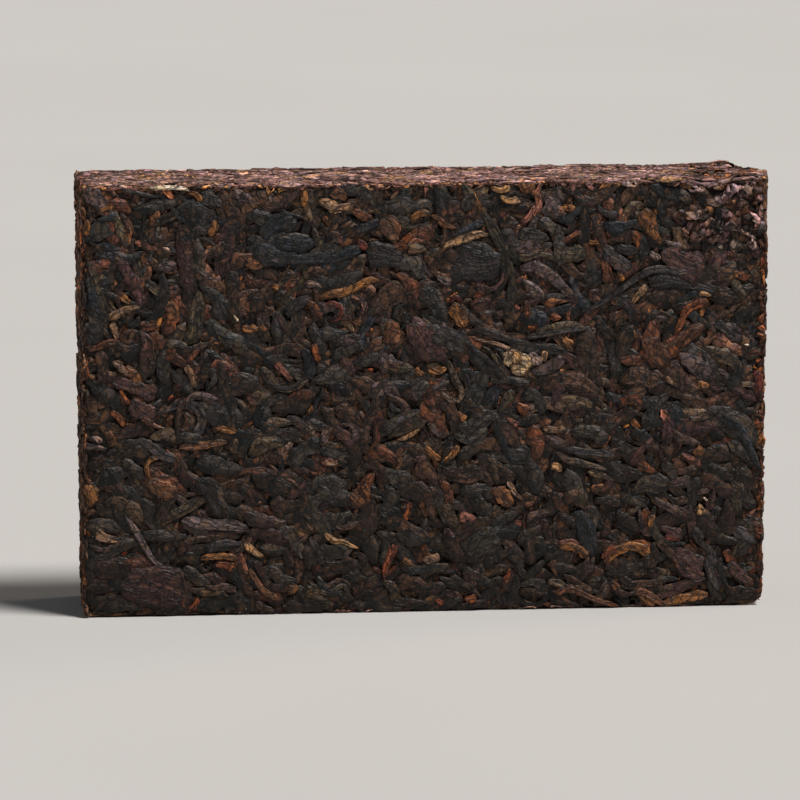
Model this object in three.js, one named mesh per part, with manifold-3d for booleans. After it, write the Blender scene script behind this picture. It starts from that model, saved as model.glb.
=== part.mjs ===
// A ripe pu erh tea brick: black-brown tea leaves, steamed, pressed hard in a box mould and dried.
// It stands on one of its long narrow sides. Millimetres, +Z up, the shown face towards -Y, and the
// origin on the surface under the middle of the brick.
import * as THREE from "three";
import { mergeVertices } from "three/addons/utils/BufferGeometryUtils.js";
import Module from "manifold-3d";

const wasm = await Module();
wasm.setup();

// The brick as it leaves the mould.
const WIDTH = 140; // long side, along X
const DEPTH = 25; // thickness, along Y
const HEIGHT = 89; // short side, along Z, the brick's height as it stands

// The mould's faces press the highest leaves flat, and the packed tea between them lies lower.
const RELIEF = 0.7; // from the packed tea up to the pressed faces
const STRIP_SUNK = 0.2; // how deep the edges of a rolled strip lie in the packed tea
const FLAKE_SUNK = 0.6; // how deep a flat flake reaches
const ARRIS = 1.1; // bevel along the edges of the two large faces
const CORNER_RADIUS = 1.4; // corners that kept their shape
const WORN_RADIUS = 5; // the lower right corner, rubbed off by handling
const CORNER_STEPS = 3;

// The upper right corner of the shown face crumbles: bites of lost tea, each a few leaves wide.
const CRUMBLED = { x: 61, z: 82, spreadX: 8, spreadZ: 6, bites: 9, radius: 4.4, depth: 1.8 };
const LOST_CORNER = { x: WIDTH / 2, y: DEPTH / 2, z: HEIGHT, radius: 4.4 };

// Kinds of leaf, the largest first. Length, width and height above the packed tea are ranges, bend
// is the largest turn from end to end in radians, steps is the number of sections between the tips
// or of a flake's sides, and share is the count on each large face or on a narrow side 140 long.
const LARGE_FACE_KINDS = [
  { form: strip, share: 20, length: [20, 31], width: [3.4, 4.8], height: [1, 1.9], bend: 1.2, steps: 3 },
  { form: flake, share: 16, length: [8, 13], width: [5, 8], height: [0.3, 0.9], bend: 0, steps: 6 },
  { form: strip, share: 52, length: [11, 19], width: [2.4, 3.8], height: [0.8, 1.7], bend: 1.1, steps: 2 },
  { form: strip, share: 12, length: [6, 10], width: [1.4, 2.2], height: [0.7, 1.3], bend: 0.8, steps: 2 },
];
const NARROW_FACE_KINDS = [
  { form: strip, share: 22, length: [14, 30], width: [1.6, 2.9], height: [0.6, 1.3], bend: 0.2, steps: 2 },
  { form: strip, share: 12, length: [6, 13], width: [1.2, 2], height: [0.6, 1.3], bend: 0.4, steps: 2 },
];
const CANDIDATES = 14; // places tried for each leaf, of which the emptiest is kept
const EDGE_ROOM = 2.3; // the middle of a leaf keeps this far inside its face
const SEED = 2501;

// A small generator of random numbers, so the brick is the same each time.
function seededRandom(seed) {
  let state = seed >>> 0;
  return () => {
    state = (state + 0x6d2b79f5) >>> 0;
    let t = Math.imul(state ^ (state >>> 15), 1 | state);
    t = (t + Math.imul(t ^ (t >>> 7), 61 | t)) ^ t;
    return ((t ^ (t >>> 14)) >>> 0) / 4294967296;
  };
}

const random = seededRandom(SEED);
const between = (low, high) => low + (high - low) * random();
const pick = (range) => between(range[0], range[1]);

// A closed geometry as a solid that can be joined and cut.
function solid(geometry) {
  const bare = geometry.index ? geometry.clone() : geometry;
  bare.deleteAttribute("normal");
  bare.deleteAttribute("uv");
  const merged = mergeVertices(bare, 1e-4);
  return new wasm.Manifold(
    new wasm.Mesh({
      numProp: 3,
      vertProperties: new Float32Array(merged.attributes.position.array),
      triVerts: new Uint32Array(merged.index.array),
    }),
  );
}

// The brick's outline seen from the front, pulled in by inset on all sides but the one that it
// stands on, as corner arcs joined by straights.
function outline(inset, bottom) {
  const left = -WIDTH / 2 + inset;
  const right = WIDTH / 2 - inset;
  const top = HEIGHT - inset;
  const shape = new THREE.Shape();
  const corner = (x, z, radius, start) =>
    shape.absarc(x, z, radius, start, start + Math.PI / 2, false);
  corner(left + CORNER_RADIUS, bottom + CORNER_RADIUS, CORNER_RADIUS, Math.PI);
  corner(right - WORN_RADIUS, bottom + WORN_RADIUS, WORN_RADIUS, 1.5 * Math.PI);
  corner(right - CORNER_RADIUS, top - CORNER_RADIUS, CORNER_RADIUS, 0);
  corner(left + CORNER_RADIUS, top - CORNER_RADIUS, CORNER_RADIUS, 0.5 * Math.PI);
  return shape;
}

// A slab of that outline with bevelled large faces.
function slab(inset, bottom, arris) {
  const depth = DEPTH - 2 * inset;
  const geometry = new THREE.ExtrudeGeometry(outline(inset, bottom), {
    depth: depth - 2 * arris,
    curveSegments: CORNER_STEPS,
    bevelThickness: arris,
    bevelSize: arris,
    bevelOffset: -arris,
    bevelSegments: 1,
  });
  geometry.translate(0, 0, -depth / 2 + arris);
  geometry.rotateX(Math.PI / 2);
  return geometry;
}

// A rolled leaf strip pressed flat: pointed ends, a crest along it, its edges sunk in the tea.
// It runs along X, is bent in the face's plane and has 'steps' sections between its two tips.
function strip(kind) {
  const length = pick(kind.length);
  const width = pick(kind.width);
  const crest = pick(kind.height);
  const turn = between(-kind.bend, kind.bend);
  const intervals = kind.steps + 1;
  const points = [];
  const spine = new THREE.Vector2(0, 0);
  for (let i = 0; i <= intervals; i += 1) {
    const along = i / intervals;
    const heading = turn * (along - 0.5);
    const ahead = new THREE.Vector2(Math.cos(heading), Math.sin(heading));
    const aside = new THREE.Vector2(-ahead.y, ahead.x);
    const half = 0.5 * width * Math.sin(Math.PI * (0.12 + 0.76 * along)) * between(0.8, 1.15);
    if (i === 0 || i === intervals) {
      points.push([spine.x, spine.y, -STRIP_SUNK]);
    } else {
      const ridge = half * between(-0.5, 0.5);
      points.push([spine.x + aside.x * half, spine.y + aside.y * half, -STRIP_SUNK]);
      points.push([spine.x - aside.x * half, spine.y - aside.y * half, -STRIP_SUNK]);
      points.push([spine.x + aside.x * ridge, spine.y + aside.y * ridge, crest * between(0.75, 1.1)]);
    }
    spine.addScaledVector(ahead, length / intervals);
  }
  const faces = [[0, 3, 1], [0, 2, 3], [0, 1, 2]];
  for (let i = 0; i < kind.steps - 1; i += 1) {
    const [a, b, c] = [1 + 3 * i, 2 + 3 * i, 3 + 3 * i];
    const [d, e, f] = [a + 3, b + 3, c + 3];
    faces.push([a, c, f], [a, f, d], [c, b, e], [c, e, f], [b, a, d], [b, d, e]);
  }
  const tip = points.length - 1;
  faces.push([tip, tip - 3, tip - 1], [tip, tip - 1, tip - 2], [tip, tip - 2, tip - 3]);
  const geometry = new THREE.BufferGeometry();
  geometry.setAttribute("position", new THREE.Float32BufferAttribute(points.flat(), 3));
  geometry.setIndex(faces.flat());
  geometry.translate(-spine.x / 2, -spine.y / 2, 0);
  return geometry;
}

// A broken piece of flat leaf blade: an uneven plate with few sides.
function flake(kind) {
  const length = pick(kind.length);
  const width = pick(kind.width);
  const corners = [];
  for (let i = 0; i < kind.steps; i += 1) {
    const angle = (2 * Math.PI * (i + between(-0.25, 0.25))) / kind.steps;
    const reach = between(0.38, 0.52);
    corners.push(
      new THREE.Vector2(length * reach * Math.cos(angle), width * reach * Math.sin(angle)),
    );
  }
  const thickness = FLAKE_SUNK + pick(kind.height);
  const geometry = new THREE.ExtrudeGeometry(new THREE.Shape(corners), {
    depth: thickness,
    bevelEnabled: false,
  });
  geometry.translate(0, 0, -FLAKE_SUNK);
  geometry.rotateX(between(-0.06, 0.06));
  geometry.rotateY(between(-0.06, 0.06));
  return geometry;
}

// The way the leaves lie on the large faces: they swirl, as the loose tea settled in the mould.
function swirl(u, v) {
  return 1.9 * Math.sin(u / 21 + v / 34) + 1.6 * Math.cos(v / 15 - u / 47) + between(-0.9, 0.9);
}

// On the narrow sides only the edges of the layers show, so they all run along the side.
function layered() {
  return between(-0.12, 0.12);
}

// The six faces less the one that the brick stands on: where each is, which way its leaves run.
const FACES = [
  { out: [0, -1, 0], along: [1, 0, 0], far: DEPTH / 2, size: [WIDTH, HEIGHT], kinds: LARGE_FACE_KINDS },
  { out: [0, 1, 0], along: [-1, 0, 0], far: DEPTH / 2, size: [WIDTH, HEIGHT], kinds: LARGE_FACE_KINDS },
  { out: [0, 0, 1], along: [1, 0, 0], far: HEIGHT / 2, size: [WIDTH, DEPTH], kinds: NARROW_FACE_KINDS },
  { out: [-1, 0, 0], along: [0, 0, 1], far: WIDTH / 2, size: [HEIGHT, DEPTH], kinds: NARROW_FACE_KINDS },
  { out: [1, 0, 0], along: [0, 0, 1], far: WIDTH / 2, size: [HEIGHT, DEPTH], kinds: NARROW_FACE_KINDS },
];

// Carries a leaf from the face's own plane to its place on the packed tea of the brick.
function facePlacement(face) {
  const out = new THREE.Vector3(...face.out);
  const along = new THREE.Vector3(...face.along);
  const across = new THREE.Vector3().crossVectors(out, along);
  const middle = new THREE.Vector3(0, 0, HEIGHT / 2);
  middle.addScaledVector(out, face.far - RELIEF);
  return new THREE.Matrix4().makeBasis(along, across, out).setPosition(middle);
}

// The emptiest of several random places on the face, for leaves spread evenly.
function emptiestPlace(size, taken) {
  const reach = size.map((side) => side / 2 - EDGE_ROOM);
  let best = null;
  let widest = -1;
  for (let i = 0; i < CANDIDATES; i += 1) {
    const place = new THREE.Vector2(between(-reach[0], reach[0]), between(-reach[1], reach[1]));
    const gap = Math.min(...taken.map((other) => place.distanceTo(other)), size[0]);
    if (gap > widest) {
      widest = gap;
      best = place;
    }
  }
  taken.push(best);
  return best;
}

// Every leaf fused on one face, the largest kind first.
function leavesOn(face) {
  const placement = facePlacement(face);
  const large = face.kinds === LARGE_FACE_KINDS;
  const fullSize = large ? 1 : face.size[0] / WIDTH;
  const leaves = [];
  const taken = [];
  for (const kind of face.kinds) {
    for (let i = 0; i < Math.round(kind.share * fullSize); i += 1) {
      const place = emptiestPlace(face.size, taken);
      const geometry = kind.form(kind);
      geometry.rotateZ(large ? swirl(place.x, place.y) : layered());
      geometry.translate(place.x, place.y, 0);
      geometry.applyMatrix4(placement);
      leaves.push(solid(geometry));
    }
  }
  return leaves;
}

// A bite of lost tea: a lump with few uneven sides.
function bite(x, y, z, radius) {
  const geometry = new THREE.IcosahedronGeometry(radius, 0);
  geometry.scale(between(0.8, 1.3), between(0.7, 1), between(0.7, 1.1));
  geometry.rotateX(between(0, 3));
  geometry.rotateZ(between(0, 3));
  geometry.translate(x, y, z);
  return solid(geometry);
}

function crumbledCorner() {
  const bites = [bite(LOST_CORNER.x, LOST_CORNER.y, LOST_CORNER.z, LOST_CORNER.radius)];
  for (let i = 0; i < CRUMBLED.bites; i += 1) {
    const radius = CRUMBLED.radius * between(0.55, 1);
    const x = CRUMBLED.x + between(-1, 1) * CRUMBLED.spreadX;
    const z = CRUMBLED.z + between(-1, 1) * CRUMBLED.spreadZ;
    const y = -DEPTH / 2 - 0.7 * radius + CRUMBLED.depth * between(0.6, 1);
    bites.push(bite(x, y, z, radius));
  }
  return bites;
}

function joined(solids) {
  let level = solids;
  while (level.length > 1) {
    const next = [];
    for (let i = 0; i < level.length; i += 2) {
      next.push(i + 1 < level.length ? level[i].add(level[i + 1]) : level[i]);
    }
    level = next;
  }
  return level[0];
}

// Packed tea with leaves fused on its faces, all pressed flush by the mould, then the losses. The
// packed tea reaches the mould's floor, so the side that the brick stands on is flat.
function brickGeometry() {
  const leaves = FACES.flatMap(leavesOn);
  const packed = solid(slab(RELIEF, -RELIEF, ARRIS));
  const mould = solid(slab(0, 0, ARRIS / 2));
  const pressed = packed.add(joined(leaves)).intersect(mould);
  const worn = pressed.subtract(joined(crumbledCorner()));
  const mesh = worn.getMesh();
  const geometry = new THREE.BufferGeometry();
  geometry.setAttribute("position", new THREE.Float32BufferAttribute(mesh.vertProperties, 3));
  geometry.setIndex(new THREE.Uint32BufferAttribute(mesh.triVerts, 1));
  return geometry;
}

const tea = new THREE.MeshStandardMaterial({ color: 0x30251f, roughness: 0.62, metalness: 0 });
const brick = new THREE.Mesh(brickGeometry(), tea);
brick.name = "tea_brick";

const group = new THREE.Group();
group.add(brick);
export default group;
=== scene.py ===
import math

import bmesh
import bpy
import numpy as np
from mathutils import Matrix, Vector


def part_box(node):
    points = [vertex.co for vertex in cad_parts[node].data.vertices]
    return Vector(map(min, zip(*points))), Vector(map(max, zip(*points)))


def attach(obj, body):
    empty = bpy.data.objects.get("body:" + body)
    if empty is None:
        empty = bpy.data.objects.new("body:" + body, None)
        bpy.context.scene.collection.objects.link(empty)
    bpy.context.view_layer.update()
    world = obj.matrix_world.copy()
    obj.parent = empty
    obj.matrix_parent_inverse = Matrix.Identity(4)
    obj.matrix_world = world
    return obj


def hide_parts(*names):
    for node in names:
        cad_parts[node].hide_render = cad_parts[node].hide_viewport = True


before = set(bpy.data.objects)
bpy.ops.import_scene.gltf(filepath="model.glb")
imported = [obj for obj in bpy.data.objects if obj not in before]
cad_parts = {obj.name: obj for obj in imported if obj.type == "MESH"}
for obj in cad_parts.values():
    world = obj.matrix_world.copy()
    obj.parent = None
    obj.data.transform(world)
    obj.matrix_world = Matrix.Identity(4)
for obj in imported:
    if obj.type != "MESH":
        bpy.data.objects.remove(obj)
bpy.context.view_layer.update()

# ---------------------------------------------------------------------------------------------
# The view: a long lens a little to the left of the brick's large face and a little above it, as
# for a still life on a table. Sizes in the leaf sections are millimetres, and MM brings them here.
MM = 0.001
LOW, HIGH = (np.array(corner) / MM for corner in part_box("tea_brick"))
WIDE, DEEP, TALL = HIGH - LOW
AIM = Vector((-5.2, LOW[1], 44.2)) * MM
VIEW_DISTANCE = 1388.5 * MM
VIEW_LEFT = math.radians(6.44)
VIEW_ABOVE = math.radians(9.24)
VIEW_ROLL = math.radians(0.135)
LENS = 305.6

camera = bpy.data.objects.new("camera", bpy.data.cameras.new("camera"))
bpy.context.collection.objects.link(camera)
camera.data.lens = LENS
camera.data.sensor_width = 36.0
camera.data.clip_start = 0.05
camera.data.clip_end = 20.0
ahead = Vector(
    (
        math.sin(VIEW_LEFT) * math.cos(VIEW_ABOVE),
        math.cos(VIEW_LEFT) * math.cos(VIEW_ABOVE),
        -math.sin(VIEW_ABOVE),
    )
)
turn = ahead.to_track_quat("-Z", "Y").to_matrix().to_4x4()
camera.matrix_world = (
    Matrix.Translation(AIM - ahead * VIEW_DISTANCE) @ turn @ Matrix.Rotation(VIEW_ROLL, 4, "Z")
)
bpy.context.scene.camera = camera


# ---------------------------------------------------------------------------------------------
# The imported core: the inside of the brick, fine dark tea pressed solid. It lies just under the
# leaves of every face and shows only at the bottom of the gaps between them.
CORE_DEPTH = 1.1  # mm below the pressed faces
CORE_ROUNDING = 0.9  # mm
CORE_MESH = 3.0  # mm, the longest edge of its mesh
CORE_COLOUR = (0.012, 0.0075, 0.005)
CORE_COLOUR_RUSTY = (0.035, 0.016, 0.009)


class Wire:
    """A shader value in a Python expression: each operator adds the Math node it stands for."""

    def __init__(self, finish, socket):
        self.finish = finish
        self.socket = socket

    def joined(self, operation, first, second):
        made = self.finish.node("ShaderNodeMath", {"operation": operation}, {0: first, 1: second})
        return made["Value"]

    def __add__(self, other):
        return self.joined("ADD", self, other)

    def __radd__(self, other):
        return self.joined("ADD", other, self)

    def __sub__(self, other):
        return self.joined("SUBTRACT", self, other)

    def __rsub__(self, other):
        return self.joined("SUBTRACT", other, self)

    def __mul__(self, other):
        return self.joined("MULTIPLY", self, other)

    def __rmul__(self, other):
        return self.joined("MULTIPLY", other, self)


class Finish:
    """One material: its nodes are added by node(), which returns the node's outputs as Wires."""

    def __init__(self, name):
        self.material = bpy.data.materials.new(name)
        self.material.use_nodes = True
        self.tree = self.material.node_tree
        self.tree.nodes.clear()

    def node(self, kind, settings=None, inputs=None):
        """Adds a node of a kind, sets it up, and fills its inputs with values or Wires."""
        node = self.tree.nodes.new(kind)
        for key, value in (settings or {}).items():
            if key == "stops":
                ramp = node.color_ramp
                while len(ramp.elements) < len(value):
                    ramp.elements.new(0.5)
                for stop, (place, colour) in zip(ramp.elements, value):
                    stop.position = place
                    stop.color = (*colour, 1.0)
            else:
                setattr(node, key, value)
        for key, value in (inputs or {}).items():
            if isinstance(value, Wire):
                self.tree.links.new(value.socket, node.inputs[key])
            else:
                node.inputs[key].default_value = value
        return {out.name: Wire(self, out) for out in node.outputs if out.enabled}

    def mix(self, share, first, second, blend="MIX"):
        """Two colours mixed by share."""
        colours = [tone if isinstance(tone, Wire) else (*tone, 1.0) for tone in (first, second)]
        settings = {"data_type": "RGBA", "blend_type": blend}
        made = self.node("ShaderNodeMix", settings, {0: share, 6: colours[0], 7: colours[1]})
        return made["Result"]

    def surface(self, inputs):
        shader = self.node("ShaderNodeBsdfPrincipled", {}, inputs)
        self.node("ShaderNodeOutputMaterial", {}, {"Surface": shader["BSDF"]})
        return self.material


def packed_tea_finish():
    finish = Finish("packed_tea")
    place = finish.node("ShaderNodeTexCoord")["Object"]
    grains = finish.node(
        "ShaderNodeTexNoise", {}, {"Vector": place, "Scale": 900.0, "Detail": 5.0, "Roughness": 0.6}
    )["Fac"]
    colour = finish.mix(grains * grains, CORE_COLOUR, CORE_COLOUR_RUSTY)
    bump = finish.node(
        "ShaderNodeBump", {}, {"Strength": 0.8, "Distance": 0.3 * MM, "Height": grains}
    )["Normal"]
    return finish.surface({"Base Color": colour, "Roughness": 0.85, "Normal": bump})


# Wear, in mm: how far it goes, where it starts, and the lengths over which it fades.
WORN_WIDE, WORN_TALL = 2.2, 3.6  # the lower right corner is rubbed round
LEAN, LEAN_X, LEAN_OVER = 0.9, -50.0, 20.0  # the left side leans in at the back of its foot
BULGE, BULGE_TOP, BULGE_OVER = 0.4, 84.0, 10.0  # the right side bulges
LUMP, LUMP_X, LUMP_Z, LUMP_BACK = 2.6, 62.0, 46.0, 4.0  # tea stands out of it, high up
LUMP_OVER = (8.0, 14.0, 40.0)
HUMP, HUMP_X, HUMP_Y = 0.7, 64.6, 2.0  # the top rises a little beside the lost layer
HUMP_OVER = (2.5, 4.0, 5.0)
LOST_DEPTH, LOST_X, LOST_Y = 1.6, 66.4, 2.0  # a layer is lost at the top, right and back corner
LOST_OVER = (0.6, 3.0, 8.0)
GROOVE_X, GROOVE_HALF = 1.0, 0.7  # just inside its edge the loss is deepest
CHIP_DEPTH, CHIP_X = 1.3, 58.0  # the top front edge is chipped
CHIP_OVER = (5.0, 5.0, 6.0)
LOSS_DEPTH, LOSS_X, LOSS_Z = 2.0, 61.0, 81.5  # the upper right corner of the front has crumbled
LOSS_REACH, LOSS_WIDER = 13.0, 1.1  # up from its middle, and times as far along


def crumbled_depth(x, z):
    """How far the tea has crumbled away from the front face at x, z."""
    near = np.hypot((x - LOSS_X) / LOSS_WIDER, z - LOSS_Z) / LOSS_REACH
    uneven = 0.6 + 0.4 * np.sin(x * 0.9 + 1.0) * np.cos(z * 1.1 + x * 0.35)
    return LOSS_DEPTH * np.clip(1.25 - near, 0.0, 1.0) * uneven


def fade_in(past, over):
    """0 before a place, rising to 1 over a length past it."""
    return np.clip(past / over, 0.0, 1.0)


def fade_out(away, over):
    """1 at a place, sinking to 0 over a length away from it."""
    return np.clip(1.0 - away / over, 0.0, 1.0)


def wear_brick(points):
    """Brings points of the sharp-cornered brick, in mm, to its worn shape."""
    x, y, z = np.moveaxis(points.copy(), -1, 0)
    x += LEAN * fade_in(LEAN_X - x, LEAN_OVER) * (y - LOW[1]) / DEEP * (HIGH[2] - z) / TALL
    x += BULGE * fade_out(HIGH[0] - x, BULGE_OVER) * fade_in(BULGE_TOP - z, BULGE_OVER)
    lump = fade_in(x - LUMP_X, LUMP_OVER[0]) * fade_in(z - LUMP_Z, LUMP_OVER[2])
    x += LUMP * lump * fade_in(y - LOW[1], LUMP_OVER[1]) * np.clip(2.0 - y / LUMP_BACK, 0.0, 1.0)
    hump = np.exp(-(((x - HUMP_X) / HUMP_OVER[0]) ** 2)) * fade_in(y - HUMP_Y, HUMP_OVER[1])
    z += HUMP * hump * fade_out(HIGH[2] - z, HUMP_OVER[2])
    chip = np.clip(1.0 - ((x - CHIP_X) / CHIP_OVER[0]) ** 2, 0.0, 1.0)
    chip *= fade_out(y - LOW[1], CHIP_OVER[1]) * fade_out(HIGH[2] - z, CHIP_OVER[2])
    z -= CHIP_DEPTH * chip
    dx = (x - HIGH[0]) / WORN_WIDE + 1.0
    dz = (LOW[2] - z) / WORN_TALL + 1.0
    reach = np.hypot(dx, dz) + 1e-9
    lost = np.where((dx > 0) & (dz > 0), 1.0 - np.maximum(dx, dz) / reach, 0.0)
    torn = fade_in(x - LOST_X, LOST_OVER[0]) * fade_in(y - LOST_Y, LOST_OVER[1])
    torn *= fade_out(HIGH[2] - z, LOST_OVER[2])
    torn *= 0.8 + 0.5 * np.exp(-(((x - LOST_X - GROOVE_X) / GROOVE_HALF) ** 2))
    z -= LOST_DEPTH * torn
    return np.stack([x - dx * lost * WORN_WIDE, y, z + dz * lost * WORN_TALL], axis=-1)


bpy.ops.object.select_all(action="DESELECT")
bpy.ops.mesh.primitive_cube_add(size=1.0, location=(0.0, 0.0, 0.5 * TALL * MM))
core = bpy.context.object
core.name = "packed_core"
core.dimensions = tuple((side - 2.0 * CORE_DEPTH) * MM for side in (WIDE, DEEP, TALL))
bpy.ops.object.transform_apply(location=True, rotation=True, scale=True)
bpy.ops.object.mode_set(mode="EDIT")
bpy.ops.mesh.select_all(action="SELECT")
bpy.ops.mesh.bevel(offset=CORE_ROUNDING * MM, segments=3, affect="EDGES")
bpy.ops.mesh.select_mode(type="EDGE")
core_mesh = bmesh.from_edit_mesh(core.data)
while max(edge.calc_length() for edge in core_mesh.edges) > CORE_MESH * MM:
    for edge in core_mesh.edges:
        edge.select_set(edge.calc_length() > CORE_MESH * MM)
    bmesh.update_edit_mesh(core.data)
    bpy.ops.mesh.subdivide(number_cuts=1)
    core_mesh = bmesh.from_edit_mesh(core.data)
bpy.ops.mesh.select_all(action="SELECT")
bpy.ops.mesh.normals_make_consistent(inside=False)
bpy.ops.object.mode_set(mode="OBJECT")
core_places = wear_brick(np.array([v.co for v in core.data.vertices]) / MM)
near_front = core_places[:, 1] < LOW[1] + 0.3 * DEEP
core_places[near_front, 1] += crumbled_depth(core_places[near_front, 0], core_places[near_front, 2])
core.data.vertices.foreach_set("co", (core_places * MM).ravel())
bpy.ops.object.shade_smooth()
core.data.materials.append(packed_tea_finish())
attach(core, "root")
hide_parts("tea_brick")


# ---------------------------------------------------------------------------------------------
# Chosen leaves: the leaves of the front that stand out, laid one by one. Each is a strip, bud or
# flake pressed flush, given by its width and then x and z of each place its middle line passes.
ARRIS_RADIUS = 0.5  # mm
THINNEST = 0.05  # mm, the least radius of a leaf bent over an arris
OVERHANG = 0.6  # mm that a leaf may fold over an edge
COVER_STEP = 0.25  # mm, the pitch of the map of what already covers a face
COVER_BASE = -3.0  # mm, the height of a place with no leaf
FIBRE_UV = "fibre"
LEAF_COLOUR = "leaf_colour"


class Face:
    """A face of the brick: 'along' and 'across' lie in it and 'out' points away from the tea."""

    def __init__(self, name, along, out, size, middle):
        self.name = name
        self.along = np.array(along, float)
        self.out = np.array(out, float)
        self.across = np.cross(self.out, self.along)
        self.half = np.array(size) / 2.0
        self.middle = np.array(middle, float)
        cells = (np.array(size) / COVER_STEP).astype(int) + 1
        self.cover = np.full(tuple(cells), COVER_BASE)

    def cells(self, u, v):
        """The squares of the cover map that the places u, v lie in."""
        i = ((u + self.half[0]) / COVER_STEP).astype(int)
        j = ((v + self.half[1]) / COVER_STEP).astype(int)
        i = np.clip(i, 0, self.cover.shape[0] - 1)
        j = np.clip(j, 0, self.cover.shape[1] - 1)
        return i, j

    def fold(self, u, v, h):
        """Places in the brick's frame, in mm, of points u along, v across and h above the face.
        Past the face's edges they follow the rounded arris down the next side."""
        flat_u = np.clip(u, ARRIS_RADIUS - self.half[0], self.half[0] - ARRIS_RADIUS)
        flat_v = np.clip(v, ARRIS_RADIUS - self.half[1], self.half[1] - ARRIS_RADIUS)
        du = u - flat_u
        dv = v - flat_v
        past = np.hypot(du, dv)
        angle = np.clip(past / ARRIS_RADIUS, 0.0, math.pi / 2)
        down = np.maximum(past - ARRIS_RADIUS * math.pi / 2, 0.0)
        radius = np.maximum(ARRIS_RADIUS + h, THINNEST)
        reach = np.sin(angle) * radius / (past + 1e-9)
        rise = np.where(past > 0, np.cos(angle) * radius - ARRIS_RADIUS - down, h)
        places = (
            self.middle
            + (flat_u + du * reach)[..., None] * self.along
            + (flat_v + dv * reach)[..., None] * self.across
            + rise[..., None] * self.out
        )
        worn = wear_brick(places)
        worn[..., 2] = np.maximum(worn[..., 2], LOW[2])
        return worn


MIDDLE = (LOW + HIGH) / 2.0
FACES = {
    name: Face(name, along, out, size, middle)
    for name, along, out, size, middle in (
        ("front", (1, 0, 0), (0, -1, 0), (WIDE, TALL), (0, LOW[1], MIDDLE[2])),
        ("back", (-1, 0, 0), (0, 1, 0), (WIDE, TALL), (0, HIGH[1], MIDDLE[2])),
        ("top", (1, 0, 0), (0, 0, 1), (WIDE, DEEP), (0, 0, HIGH[2])),
        ("under", (1, 0, 0), (0, 0, -1), (WIDE, DEEP), (0, 0, LOW[2])),
        ("left", (0, 0, 1), (-1, 0, 0), (TALL, DEEP), (LOW[0], 0, MIDDLE[2])),
        ("right", (0, 0, 1), (1, 0, 0), (TALL, DEEP), (HIGH[0], 0, MIDDLE[2])),
    )
}
LARGE = ("front", "back")


def stations(rows):
    """Places along a leaf, 0 to 1, of its rows of points, with a tip at each end."""
    s = np.linspace(0.0, 1.0, rows + 2)
    s[1] *= 0.4
    s[-2] = 1.0 - 0.4 * (1.0 - s[-2])
    return s


def chosen_lines(paths, rows):
    """Middle lines of leaves through chosen places, as smooth curves: u, v, heading and length."""
    s = stations(rows)
    line_u, line_v, lengths = [], [], []
    for path in paths:
        points = np.array(path, float)
        before = 2 * points[0] - points[1]
        after = 2 * points[-1] - points[-2]
        ring = np.vstack([before, points, after])
        steps = np.linalg.norm(np.diff(points, axis=0), axis=1)
        far = np.concatenate([[0.0], np.cumsum(steps)])
        at = np.interp(s * far[-1], far, np.arange(len(points)))
        k = np.minimum(at.astype(int), len(points) - 2)
        f = (at - k)[:, None]
        a, b, c, d = ring[k], ring[k + 1], ring[k + 2], ring[k + 3]
        curve = b + 0.5 * f * (c - a + f * (2 * a - 5 * b + 4 * c - d + f * (3 * (b - c) + d - a)))
        line_u.append(curve[:, 0])
        line_v.append(curve[:, 1])
        lengths.append(far[-1])
    line_u, line_v = np.array(line_u), np.array(line_v)
    heading = np.arctan2(np.gradient(line_v, axis=1), np.gradient(line_u, axis=1))
    return line_u, line_v, heading, np.array(lengths)[:, None]


class Laid:
    """Leaves of one kind that lie on one face: grids of u, v, h and colour (leaf, row, column).
    The first and last rows are the tips, where all columns meet, and the last column is the
    underside."""

    def __init__(self, face, grids, colour, length, girth):
        self.face = face
        self.u, self.v, self.h = grids
        self.colour = colour
        self.length = length
        self.girth = girth

    def kept(self, which):
        grids = (self.u[which], self.v[which], self.h[which])
        return Laid(self.face, grids, self.colour[which], self.length[which], self.girth[which])


EDGE_WIDTH = 0.13  # mm, of the steep edge of a leaf
LEAF_THICKNESS = 0.25  # mm
PRESS_SOFTNESS = 0.08  # mm over which what stands too proud is flattened
# Painted shade: the underside of a leaf, seen only in the gaps, gets this share of its colour.
UNDERSIDE_SHADE = 0.1  # of a leaf's own colour
GIRTH = 2.2  # times a leaf's width, the way round it
HEIGHT_STEPS = 1e4  # for each mm, on the cover map
LEAF_BITS = 20  # that a leaf's number takes up below its height there


def across_leaf(columns, rim):
    """Places across each leaf, from -1 to 1: two close together at each edge, the rest between."""
    edge = np.ones_like(rim)
    if columns == 5:
        inner = [1.0 - 1.2 * rim]
        middle = [np.zeros_like(rim)]
    else:
        inner = [1.0 - 0.3 * rim]
        middle = [(1.0 - rim) * at for at in np.linspace(-1.0, 1.0, columns - 4)]
    return np.stack([-edge] + [-at for at in inner] + middle + inner + [edge], axis=1)


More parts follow.
